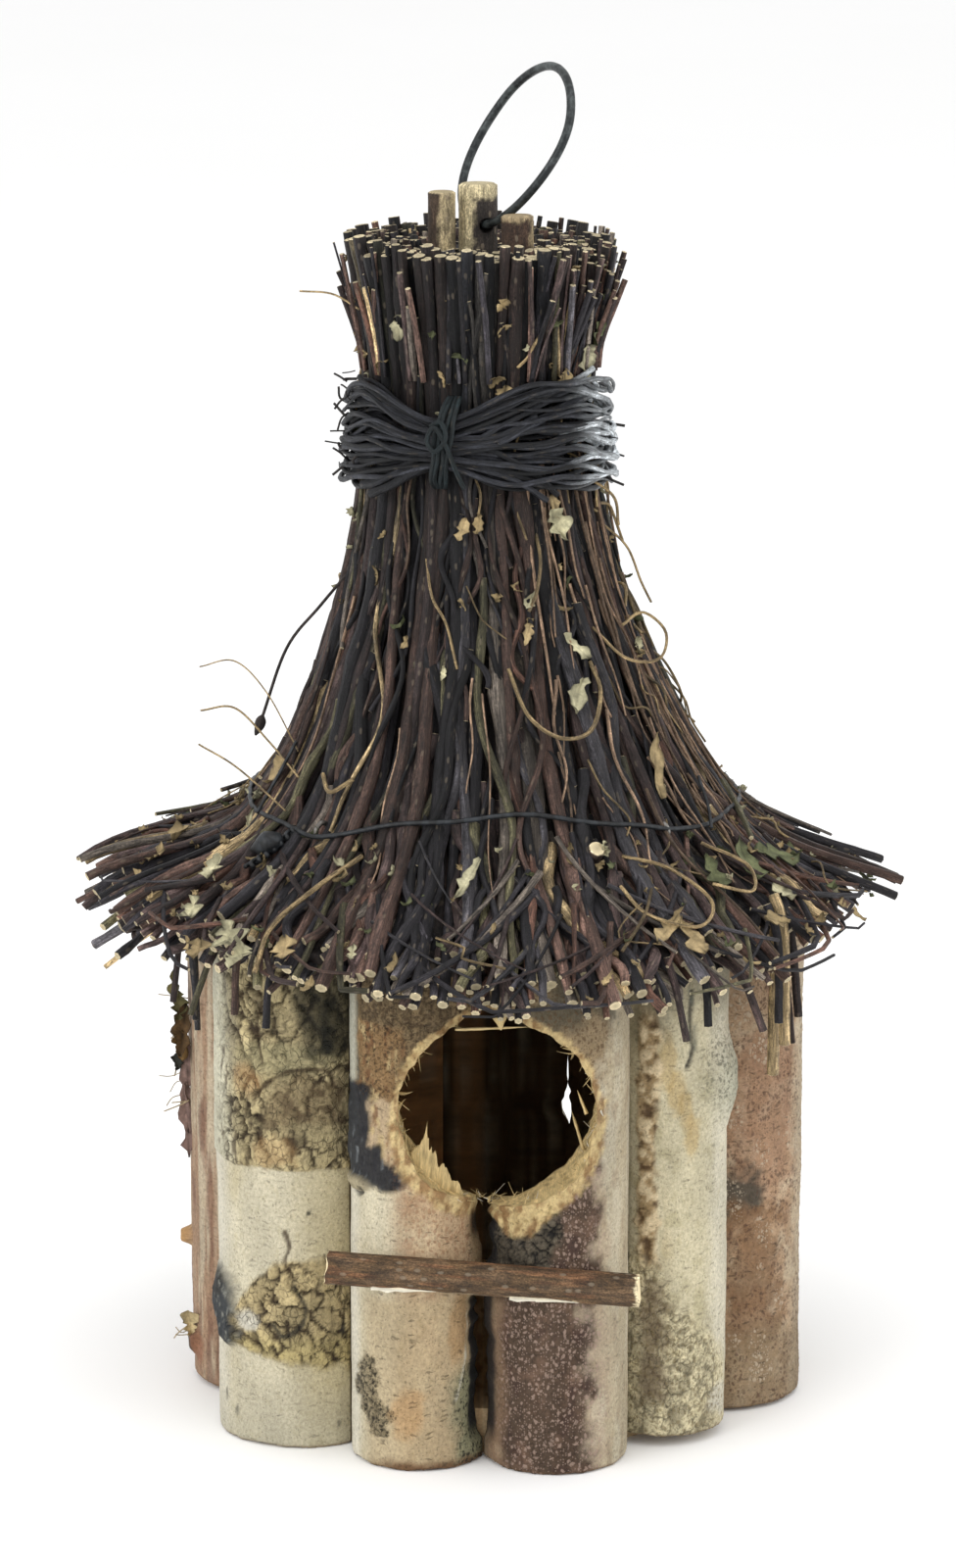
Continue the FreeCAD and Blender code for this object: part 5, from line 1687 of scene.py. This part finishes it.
def make_tie():
    """The thin tie: four tight wraps across the strands, with a small knot."""
    rng = np.random.default_rng(33)
    shape = Shape()
    for i in range(4):
        side = TIE_AZIMUTH + 3 + (i - 1.5) * 1.9
        places = [(side - 3, -9.6, 23.8), (side - 2, -7.4, 26.8), (side, -3.5, 28.8),
                  (side + 1.2, 0.6, 29.1), (side + 2.4, 4.2, 28.1), (side + 3.4, 6.6, 26.0),
                  (side + 4.0, 7.8, 24.0)]
        path = [at(a + rng.uniform(-0.6, 0.6), r, BINDING_MIDDLE + h) for a, h, r in places]
        rod(shape, curve(path, 34), 0.48, srgb(20, 28, 30), None, 8, i * 7.0, 0.05)
    knot = [at(TIE_AZIMUTH + 3 + a, r, BINDING_MIDDLE + h) for a, h, r in
            [(-3, 3, 29.6), (1, 4, 30.0), (3, 1, 30.3), (-1, -1.6, 30.3), (-4, 0.4, 30.1), (-1, 3, 30.5),
             (3, -0.5, 30.1), (6, -5, 29.0), (9, -9, 27.6)]]
    rod(shape, curve(knot, 70), 0.48, srgb(22, 30, 32), None, 8, 40.0, 0.05)
    add_piece(shape, "binding_tie_wraps", [STRAND_BARK], "black_wire", "binding_tie", leans=True)


make_tie()


# ---------------------------------------------------------------- flare wire
def make_flare_wire():
    """A thin black wire laid over the flare, dipping between twigs, with its twisted ends at the left."""
    shape = Shape()
    low, high = node_box("flare_wire")
    middle, reach = (low[2] + high[2]) / 2, (high[0] - low[0]) / 2 - 0.55
    azimuth = np.linspace(-52, 308, 260)
    a = np.radians(azimuth)
    front = np.maximum(np.cos(2 * a), 0) * (np.cos(a) > 0)
    height = middle + 5.0 * front + 0.7 * np.sin(3 * a + 0.6) + 0.35 * np.sin(11 * a)
    snug = roof_distance(height) + 2.0
    distance = np.maximum(snug, reach - 5.5 * front) + 0.3 * np.abs(np.sin(a * LONG_TWIGS / 2))
    rod(shape, at(azimuth, distance, height), 0.5, srgb(30, 32, 34), None, 8, 1.0)
    turns = np.linspace(0, 1, 60)
    for phase in (0, math.pi):
        lift = np.stack([0.7 * np.cos(turns * 22 + phase), 0.7 * np.sin(turns * 22 + phase), 0 * turns], 1)
        line = curve([at(-52, 47.5, 121), at(-53, 52, 117.6), at(-55, 57, 114.0)], 60)
        rod(shape, line + lift, 0.5, srgb(30, 32, 34), None, 6, 2.0 + phase)
    riser = curve([at(-64, 50.5, 122.0), at(-65, 45.6, 128.5), at(-66, 41.0, 135.0)], 16)
    rod(shape, riser, 0.34, srgb(70, 76, 80), None, 6, 4.0)
    riser = curve([at(63, 45.0, 129.0), at(60, 48.2, 124.0), at(57, 50.4, 120.4)], 16)
    rod(shape, riser, 0.34, srgb(96, 104, 108), None, 6, 5.0)
    knot = curve([at(-53, 50.5, 119.5), at(-55, 53, 117.8), at(-58, 54.5, 116.4)], 9)
    rod(shape, knot, [0.8, 1.5, 2.0, 2.3, 2.2, 1.9, 1.5, 1.0, 0.5], DARK_BROWN, None, 10, 6.0, 0.3)
    add_piece(shape, "flare_wire_wrap", [THIN_WIRE], "black_wire", "flare_wire", leans=True)


make_flare_wire()


# ---------------------------------------------------------------- stray twigs, tendrils and leaf bits
def place(azimuth, along, off):
    """A point of the roof at this azimuth, this far down its line and this far off its surface."""
    r, z = roof_point(np.asarray(along, float), -np.asarray(off, float))
    return at(azimuth, r, z + side_rise(azimuth, along, 0.0))


def lay_loose_twigs(shape, rng, count):
    """Loose straight twigs at the eave, most of them thinner than the thatch's."""
    for i in range(count):
        azimuth = rng.uniform(-180, 180)
        start = ROOF_END - rng.uniform(10, 42)
        sideways = rng.uniform(-26, 26)
        length = rng.uniform(12, 34)
        t = np.linspace(0, 1, 9)
        along = np.minimum(start + length * t, ROOF_END + eave_reach(azimuth) + 4 * rng.random())
        off = rng.uniform(0.2, 1.8) + rng.uniform(-1.0, 2.6) * t
        path = place(azimuth + np.degrees(sideways * t / 60), along, off)
        radius = rng.uniform(0.28, 0.85)
        rod(shape, path, radius * (1 - 0.35 * t), twig_tint(rng), end_tint(rng), 5, i * 3.1, 0.1)


def hang_twigs(shape, rng):
    """Twigs that hang over the logs, as (azimuth, distance, height, drop, radius)."""
    hanging = [
        (57, 68, 104, 24, 1.1), (61, 64, 102, 30, 1.2), (65, 63, 103, 26, 0.8), (54, 69, 103, 18, 0.9),
        (68, 64, 101, 19, 0.9), (59, 66, 102, 21, 0.7), (-69, 66, 101, 16, 0.7), (-64, 65, 102, 20, 0.6),
        (-60, 68, 101, 12, 0.8), (-46, 69, 101, 12, 0.8), (-52, 70, 100, 13, 0.7), (-38, 70, 99, 11, 0.8),
        (44, 70, 99, 13, 0.9), (30, 71, 98, 11, 0.8), (36, 70, 99, 10, 0.9), (-73, 62, 100, 22, 0.6),
        (120, 70, 100, 14, 1.0), (160, 70, 100, 18, 0.9), (200, 70, 100, 15, 1.1), (240, 70, 100, 19, 0.9),
    ]
    for i, (azimuth, distance, height, drop, radius) in enumerate(hanging):
        lean = rng.uniform(-3, 3)
        path = [at(azimuth - 0.4 * lean, distance - 4, height + 5), at(azimuth, distance - 1.5, height - 2),
                at(azimuth + lean, distance - 1.0 + rng.uniform(-1, 2), height - drop)]
        rod(shape, curve(path, 12), radius, twig_tint(rng), end_tint(rng), 6, 500 + i, 0.1)


def lay_side_twigs(shape, rng):
    """Twigs that reach out at the sides, as (azimuth, how far back they start, lift, radius)."""
    far_out = [
        (84, 30, 4.4, 0.95), (88, 30, 3.0, 1.2), (80, 26, 2.5, 0.9), (-85, 32, 5.0, 0.7),
        (-80, 28, 4.0, 0.9), (-88, 26, 3.0, 1.0), (-74, 30, 3.0, 0.6), (100, 26, 3.5, 0.9),
    ]
    for i, (azimuth, back, lift, radius) in enumerate(far_out):
        t = np.linspace(0, 1, 14)
        along = ROOF_END - back + (back + 2) * t
        path = place(azimuth + 3 * t, along, 0.8 + lift * t**1.4)
        rod(shape, path, radius, twig_tint(rng) * 0.8, end_tint(rng), 6, 600 + i, 0.1)


def lay_stub_and_bud(shape):
    """A sawn stub that faces forwards, and the dark twig with a bud off the left of the neck."""
    stub = [place(24, along_at(119), -2.5), place(24, along_at(119) - 0.5, 1.9)]
    rod(shape, curve(stub, 6), 1.65, srgb(60, 48, 42), END_CREAM, 14, 650.0, 0.1)
    path = [place(-76, along_at(166), 1.0), place(-80, along_at(158), 4.5), place(-82, along_at(148), 8.0)]
    path += [at(-83, 45.0, 136.5)]
    rod(shape, curve(path, 24), 0.34, srgb(44, 38, 36), None, 6, 700.0)
    bud = curve([at(-83, 44.6, 137.6), at(-83, 45.4, 135.4), at(-83.4, 46.2, 133.6)], 9)
    rod(shape, bud, [0.35, 0.8, 1.05, 1.1, 1.05, 0.9, 0.7, 0.5, 0.2], srgb(44, 38, 36), None, 7, 701.0)


def make_strays():
    """The single twigs that stand out from the thatch."""
    rng = np.random.default_rng(51)
    shape = Shape()
    lay_loose_twigs(shape, rng, 150)
    hang_twigs(shape, rng)
    lay_side_twigs(shape, rng)
    lay_stub_and_bud(shape)
    add_twigs(shape, "stray_twigs")


make_strays()


STEM_TAN = srgb(142, 122, 88)


def curl_drawn_stems(shape, rng):
    """The curled stems that catch the eye, as ((azimuth, height, distance off the roof) places, radius)."""
    drawn = [
        ([(8, 152, 1), (12, 143, 4), (20, 138.5, 5), (30, 139.5, 4), (38, 146, 3), (40, 152, 1)], 0.42),
        ([(46, 158, 1), (52, 151, 4), (62, 149, 7), (70, 153, 8), (66, 158, 6), (56, 157, 4)], 0.3),
        ([(-62, 128, 1), (-74, 131, 6), (-84, 133, 13), (-90, 128, 18)], 0.22),
        ([(-66, 132, 2), (-80, 139, 9), (-90, 141, 16), (-97, 135, 22)], 0.16),
        ([(-58, 122, 2), (-74, 124, 9), (-88, 122, 15)], 0.2),
        ([(-72, 218, 1), (-82, 221, 5), (-88, 222, 11)], 0.2),
        ([(30, 118, 1), (38, 114, 3), (42, 108, 3), (36, 105, 3), (28, 108, 3), (26, 113, 2)], 0.36),
        ([(52, 117, 2), (56, 111, 4), (50, 107, 5), (44, 110, 4)], 0.34),
        ([(-30, 118, 1), (-35, 111, 3), (-38, 104, 3), (-36, 98, 2)], 0.5),
        ([(-24, 172, 1), (-20, 165, 2), (-14, 160, 2), (-10, 152, 1)], 0.3),
        ([(-52, 130, 1), (-44, 127, 3), (-38, 130, 3)], 0.45),
        ([(74, 176, 1), (82, 170, 4), (80, 163, 5), (86, 158, 5)], 0.25),
        ([(60, 186, 2), (70, 181, 5), (76, 175, 4)], 0.3),
    ]
    for i, (places, radius) in enumerate(drawn):
        path = [place(a, along_at(h), off) for a, h, off in places]
        rod(shape, curve(path, 40), radius, STEM_TAN * rng.uniform(0.6, 1.15), None, 6, i * 5.0)


def curl_short_stems(shape, rng, count):
    """Short curled stems all over the roof."""
    for i in range(count):
        azimuth, height = rng.uniform(-10, 270), rng.uniform(100, 226)
        places = [place(azimuth, along_at(height), 0.9)]
        for _ in range(3):
            azimuth += rng.uniform(-7, 7)
            height -= rng.uniform(1, 6)
            places.append(place(azimuth, along_at(height), rng.uniform(0.9, 3.2)))
        radius, tint = rng.uniform(0.14, 0.36), STEM_TAN * rng.uniform(0.3, 1.05)
        rod(shape, curve(places, 16), radius, tint, None, 5, i + 80.0)


def lay_light_stems(shape, rng, count):
    """Thin light stems that run down the slope, most of them on the right."""
    for i in range(count):
        azimuth = rng.uniform(20, 92) if i % 4 else rng.uniform(-180, 180)
        t = np.linspace(0, 1, 18)
        start = rng.uniform(NECK - 4, FLARE - 6)
        along = np.minimum(start + rng.uniform(16, 52) * t, ROOF_END - 4)
        sway = rng.uniform(-5, 5) * t + rng.uniform(0.4, 1.6) * np.sin(rng.uniform(0, 6) + 8 * t)
        off = rng.uniform(0.9, 1.6) + rng.uniform(-0.3, 0.9) * np.sin(3 * t)
        rod(shape, place(azimuth + sway, along, off), rng.uniform(0.16, 0.4) * (1.1 - 0.5 * t),
            srgb(148, 122, 100) * rng.uniform(0.25, 1.0), None, 5, i + 160.0)


def make_tendrils():
    """Dry stems caught in the thatch."""
    rng = np.random.default_rng(61)
    shape = Shape()
    curl_drawn_stems(shape, rng)
    curl_short_stems(shape, rng, 64)
    lay_light_stems(shape, rng, 74)
    add_piece(shape, "dry_tendrils", [TWIG_BARK], "twig_thatch", leans=True)


make_tendrils()


def leaf(shape, centre, out, down, length, width, tint, curl, seed, points=0):
    """Adds a dry leaf bit: a thin curled scrap, rounded, or with points like a star."""
    rows, columns = 13, 9
    across = unit(np.cross(out, down))
    v, u = crossed(np.linspace(-1, 1, rows), np.linspace(-1, 1, columns))
    outline = np.sqrt(np.maximum(1 - v**2 * 0.97, 0.02)) * (1 + 0.35 * v * math.sin(seed * 3))
    if points:
        outline = outline * (0.55 + 0.45 * np.abs(np.cos(np.arctan2(u, v + 1e-6) * points / 2)))
    ragged = 1 + 0.75 * noise_at(np.sign(u) * 2, v * 4.5, seed)
    x, y = u * outline * width / 2 * ragged, v * length / 2
    twist = u * v * width * 0.35 * math.cos(seed)
    lift = curl * (np.abs(u) ** 1.3 * width * 0.3 + v**2 * length * 0.15 + twist)
    lift = lift + 0.25 * noise_at(u * 1.7, v * 2.1, seed + 5)
    sheet = centre + np.outer(x, across) + np.outer(y, down) + np.outer(lift, out)
    thickness = 0.16
    both = np.vstack([sheet + out * thickness, sheet])
    grain = np.stack([np.tile(x, 2), np.tile(y, 2), np.full(2 * len(x), seed)], 1)
    vein = 0.3 * np.exp(-((u / 0.16) ** 2)) + 0.4 * np.maximum(np.abs(u), np.abs(v)) ** 4
    shade = 1 + 0.45 * value_noise(grain * [1.1, 0.6, 1.0], 3) - np.tile(vein, 2)
    shape.add(both, sheet_faces(rows, columns), tint * shade[:, None], grain)


def make_bark_scraps():
    """Peeled bark, a caught leaf clump and a few hairs on the far left log's outer side."""
    rng = np.random.default_rng(81)
    shape = Shape()
    middle, out, _, radius, _, _ = log_frame("log_far_left")
    front, base = -unit([0.0, 1.0, 0.0]), np.array([*middle, 0.0]) + radius * out
    umber, mauve, olive = srgb(84, 64, 40), srgb(132, 108, 100), srgb(104, 98, 64)
    scraps = [
        # off the bark, towards the front, height, length, width, tint, curl
        (0.2, 3.0, 61.0, 19.0, 2.3, mauve, 0.2), (0.6, 3.4, 54.5, 16.0, 2.2, mauve * 0.85, 0.2),
        (0.9, 4.0, 73.5, 11.0, 3.4, umber, 0.9), (1.7, 4.5, 78.5, 6.0, 2.8, olive, 0.9),
        (1.5, 3.2, 70.0, 6.0, 2.6, srgb(112, 86, 50), 1.1),
        (2.2, 3.6, 66.5, 3.6, 1.8, srgb(44, 44, 38), 0.6), (2.6, 4.8, 83.0, 6.0, 1.8, olive, 0.8),
        (0.3, 5.0, 12.5, 5.0, 3.0, srgb(190, 172, 132), 0.9),
    ]
    for i, (off, forwards, height, length, width, tint, curl) in enumerate(scraps):
        centre = base + off * out + forwards * front + height * UP
        down = unit(-UP + rng.uniform(-0.12, 0.12) * out)
        leaf(shape, centre, front, down, length, width, tint, curl, 900.0 + 3 * i)
    for i in range(11):
        height = rng.choice([63.0, 29.0, 78.0, 14.0], p=[0.45, 0.25, 0.2, 0.1]) + rng.uniform(-5, 3)
        start = base + rng.uniform(1.0, 4.0) * front + height * UP
        end = start + rng.uniform(2.5, 6.0) * out + rng.uniform(-5.0, 1.5) * UP
        sag = (start + end) / 2 + rng.uniform(-1, 1, 3)
        path = curve([start, sag, end], 9)
        rod(shape, path, rng.uniform(0.1, 0.17), srgb(166, 150, 122), None, 5, 950.0 + i)
    add_piece(shape, "peeled_bark_scraps", [DRY_LEAF], "birch_bark")


make_bark_scraps()


def lay_drawn_leaves(shape, rng, pale, tan, green):
    """The leaf scraps that catch the eye."""
    drawn = [
        # azimuth, height, length, width, tint, curl, points
        (-7.5, 178, 4.6, 2.0, tan, 0.4, 0), (35, 178, 6.5, 5.0, pale, 0.9, 5),
        (30, 146, 7.5, 3.0, pale, 0.9, 0), (-40, 99, 6.0, 5.0, pale, 0.8, 5),
        (-47, 98, 5.0, 4.0, tan, 0.7, 0), (-55, 102, 5.0, 4.0, pale, 0.8, 0),
        (-78, 104, 6.0, 4.0, tan, 0.7, 5), (52, 103, 6.0, 3.0, tan, 0.6, 0),
        (60, 106, 5.0, 4.0, pale, 0.6, 5), (50, 131, 14.0, 3.0, tan, 0.6, 0),
        (-5, 115, 10.0, 2.6, pale, 0.4, 0), (36, 181.5, 5.0, 2.0, tan, 0.4, 0),
        (34, 155, 7.0, 2.4, pale, 0.6, 0), (60, 112, 11.0, 5.0, green, 0.5, 0),
        (70, 111, 12.0, 4.5, green, 0.4, 0), (48, 112, 8.0, 4.0, green, 0.7, 0),
        (34, 104, 9.0, 3.0, tan, 0.6, 0), (31, 106, 12.0, 2.6, tan, 0.5, 0),
        (-62, 109, 6.0, 5.0, pale, 0.6, 0), (-84, 108, 6.0, 5.0, tan, 0.5, 0),
        (-44, 101, 7.0, 5.5, pale, 0.7, 5), (-34, 102, 6.0, 3.6, tan, 0.5, 0),
        (-72, 127, 6.0, 4.0, tan, 0.6, 0), (58, 209, 7.0, 4.5, pale, 0.6, 0),
        (66, 214, 5.0, 4.0, green, 0.5, 5), (44, 206, 4.5, 3.4, tan, 0.5, 0),
        (12, 204, 4.0, 2.4, tan, 0.4, 0), (-38, 216, 4.0, 3.0, pale, 0.5, 5),
        (72, 222, 5.0, 3.5, green, 0.5, 0), (16, 158, 4.5, 1.6, tan, 0.5, 0),
        (150, 140, 8.0, 3.4, tan, 0.6, 0), (190, 118, 9.0, 5.0, pale, 0.5, 5),
        (230, 150, 7.0, 3.0, green, 0.5, 0),
    ]
    for i, (azimuth, height, length, width, tint, curl, points) in enumerate(drawn):
        along = along_at(height)
        centre = place(azimuth, along, 1.9)
        out = unit(place(azimuth, along, 5.0) - centre)
        down = unit(place(azimuth + rng.uniform(-6, 6), along + 4, 1.9) - centre)
        down = unit(down - out * down.dot(out))
        leaf(shape, centre, out, down, length, width, tint * rng.uniform(0.85, 1.1), curl, i * 2.0, points)


def scatter_crumbs(shape, rng, tints, count):
    """Leaf crumbs, most of them near the eave."""
    for i in range(count):
        azimuth = rng.uniform(-180, 180)
        height = rng.choice([rng.uniform(98, 122), rng.uniform(150, 228)], p=[0.7, 0.3])
        along = along_at(height)
        centre = place(azimuth, along, rng.uniform(0.4, 1.8))
        out = unit(place(azimuth, along, 6.0) - centre + rng.normal(size=3) * 2.0)
        down = unit(np.cross(out, rng.normal(size=3)))
        tint = tints[rng.integers(len(tints))] * rng.uniform(0.6, 1.1)
        leaf(shape, centre, out, down, rng.uniform(1.0, 4.4), rng.uniform(0.5, 1.7), tint, 1.2, 60.0 + i)


def make_leaf_bits():
    """Dry leaf scraps and crumbs in the thatch."""
    rng = np.random.default_rng(71)
    shape = Shape()
    pale, tan, green = srgb(184, 178, 146), srgb(166, 146, 108), srgb(98, 102, 72)
    lay_drawn_leaves(shape, rng, pale, tan, green)
    scatter_crumbs(shape, rng, [pale, tan, green, tan], 330)
    add_piece(shape, "dry_leaf_bits", [DRY_LEAF], "twig_thatch", leans=True)


make_leaf_bits()

# ---------------------------------------------------------------- carried-over nodes
for node_name, material in (
    ("floor_disc", DISC_WOOD), ("ceiling_disc", DISC_WOOD), ("log_brads", BRAD_STEEL),
    ("perch_brads", BRAD_STEEL), ("wire_staples", BRAD_STEEL),
):
    for material_slot in frame["nodes"][node_name].material_slots:
        material_slot.material = material


# ---------------------------------------------------------------- floor, light and camera
def make_stage():
    """The plain pale floor."""
    mesh = bpy.data.meshes.new("floor")
    half = 9.0
    corners = [(-half, -half, 0), (half, -half, 0), (half, half, 0), (-half, half, 0)]
    mesh.from_pydata(corners, [], [[0, 1, 2, 3]])
    g = Graph("studio_floor", Specular_IOR_Level=0.2)
    mottle = g.noise(g.node("TexCoord").outputs["Object"], 3.0)
    colour = g.mix(mottle, (0.95, 0.95, 0.945, 1.0), (0.97, 0.97, 0.97, 1.0))
    mesh.materials.append(g.finish(colour, g.between(mottle, 0.3, 0.7, 0.8, 0.9)))
    link("studio_floor", mesh)


def area_light(name, position, target, width, height, power):
    """A soft rectangular light, sizes in metres and power in watts."""
    data = bpy.data.lights.new(name, "AREA")
    data.shape, data.size, data.size_y, data.energy = "RECTANGLE", width, height, power
    aim(link(name, data), position, target)


def aim(obj, position, target):
    """Puts obj at position, looking at target."""
    obj.location = Vector(position)
    obj.rotation_euler = (Vector(target) - Vector(position)).to_track_quat("-Z", "Y").to_euler()


def make_lights():
    """White surroundings and three soft boxes: a key at the left, a fill at the right and one on top."""
    world = bpy.data.worlds.new("studio")
    bpy.context.scene.world = world
    world.use_nodes = True
    background = world.node_tree.nodes["Background"]
    background.inputs["Color"].default_value = (1.0, 1.0, 1.0, 1.0)
    background.inputs["Strength"].default_value = 1.0
    centre = (0, 0, 0.12)
    area_light("softbox_left", (-0.95, -0.85, 0.7), centre, 0.8, 0.8, 7.0)
    area_light("softbox_right", (1.05, -0.45, 0.6), centre, 0.7, 1.0, 3.5)
    area_light("softbox_top", (0.1, -0.25, 1.35), centre, 1.0, 0.8, 4.0)


CAMERA_DISTANCE = 1.1
CAMERA_ELEVATION = math.radians(13.5)
CAMERA_TARGET = (-0.0027, 0.0, 0.1225)


def make_camera():
    """A long lens a little above the eave, looking at the middle of the object."""
    data = bpy.data.cameras.new("camera")
    data.lens, data.sensor_width = 128.2, 36.0
    data.clip_start, data.clip_end = 0.05, 60.0
    camera = link("camera", data)
    x, y, z = CAMERA_TARGET
    back = CAMERA_DISTANCE * math.cos(CAMERA_ELEVATION)
    aim(camera, (x, y - back, z + CAMERA_DISTANCE * math.sin(CAMERA_ELEVATION)), CAMERA_TARGET)
    bpy.context.scene.camera = camera


make_stage()
make_lights()
make_camera()

bpy.context.scene.view_settings.view_transform = "Standard"
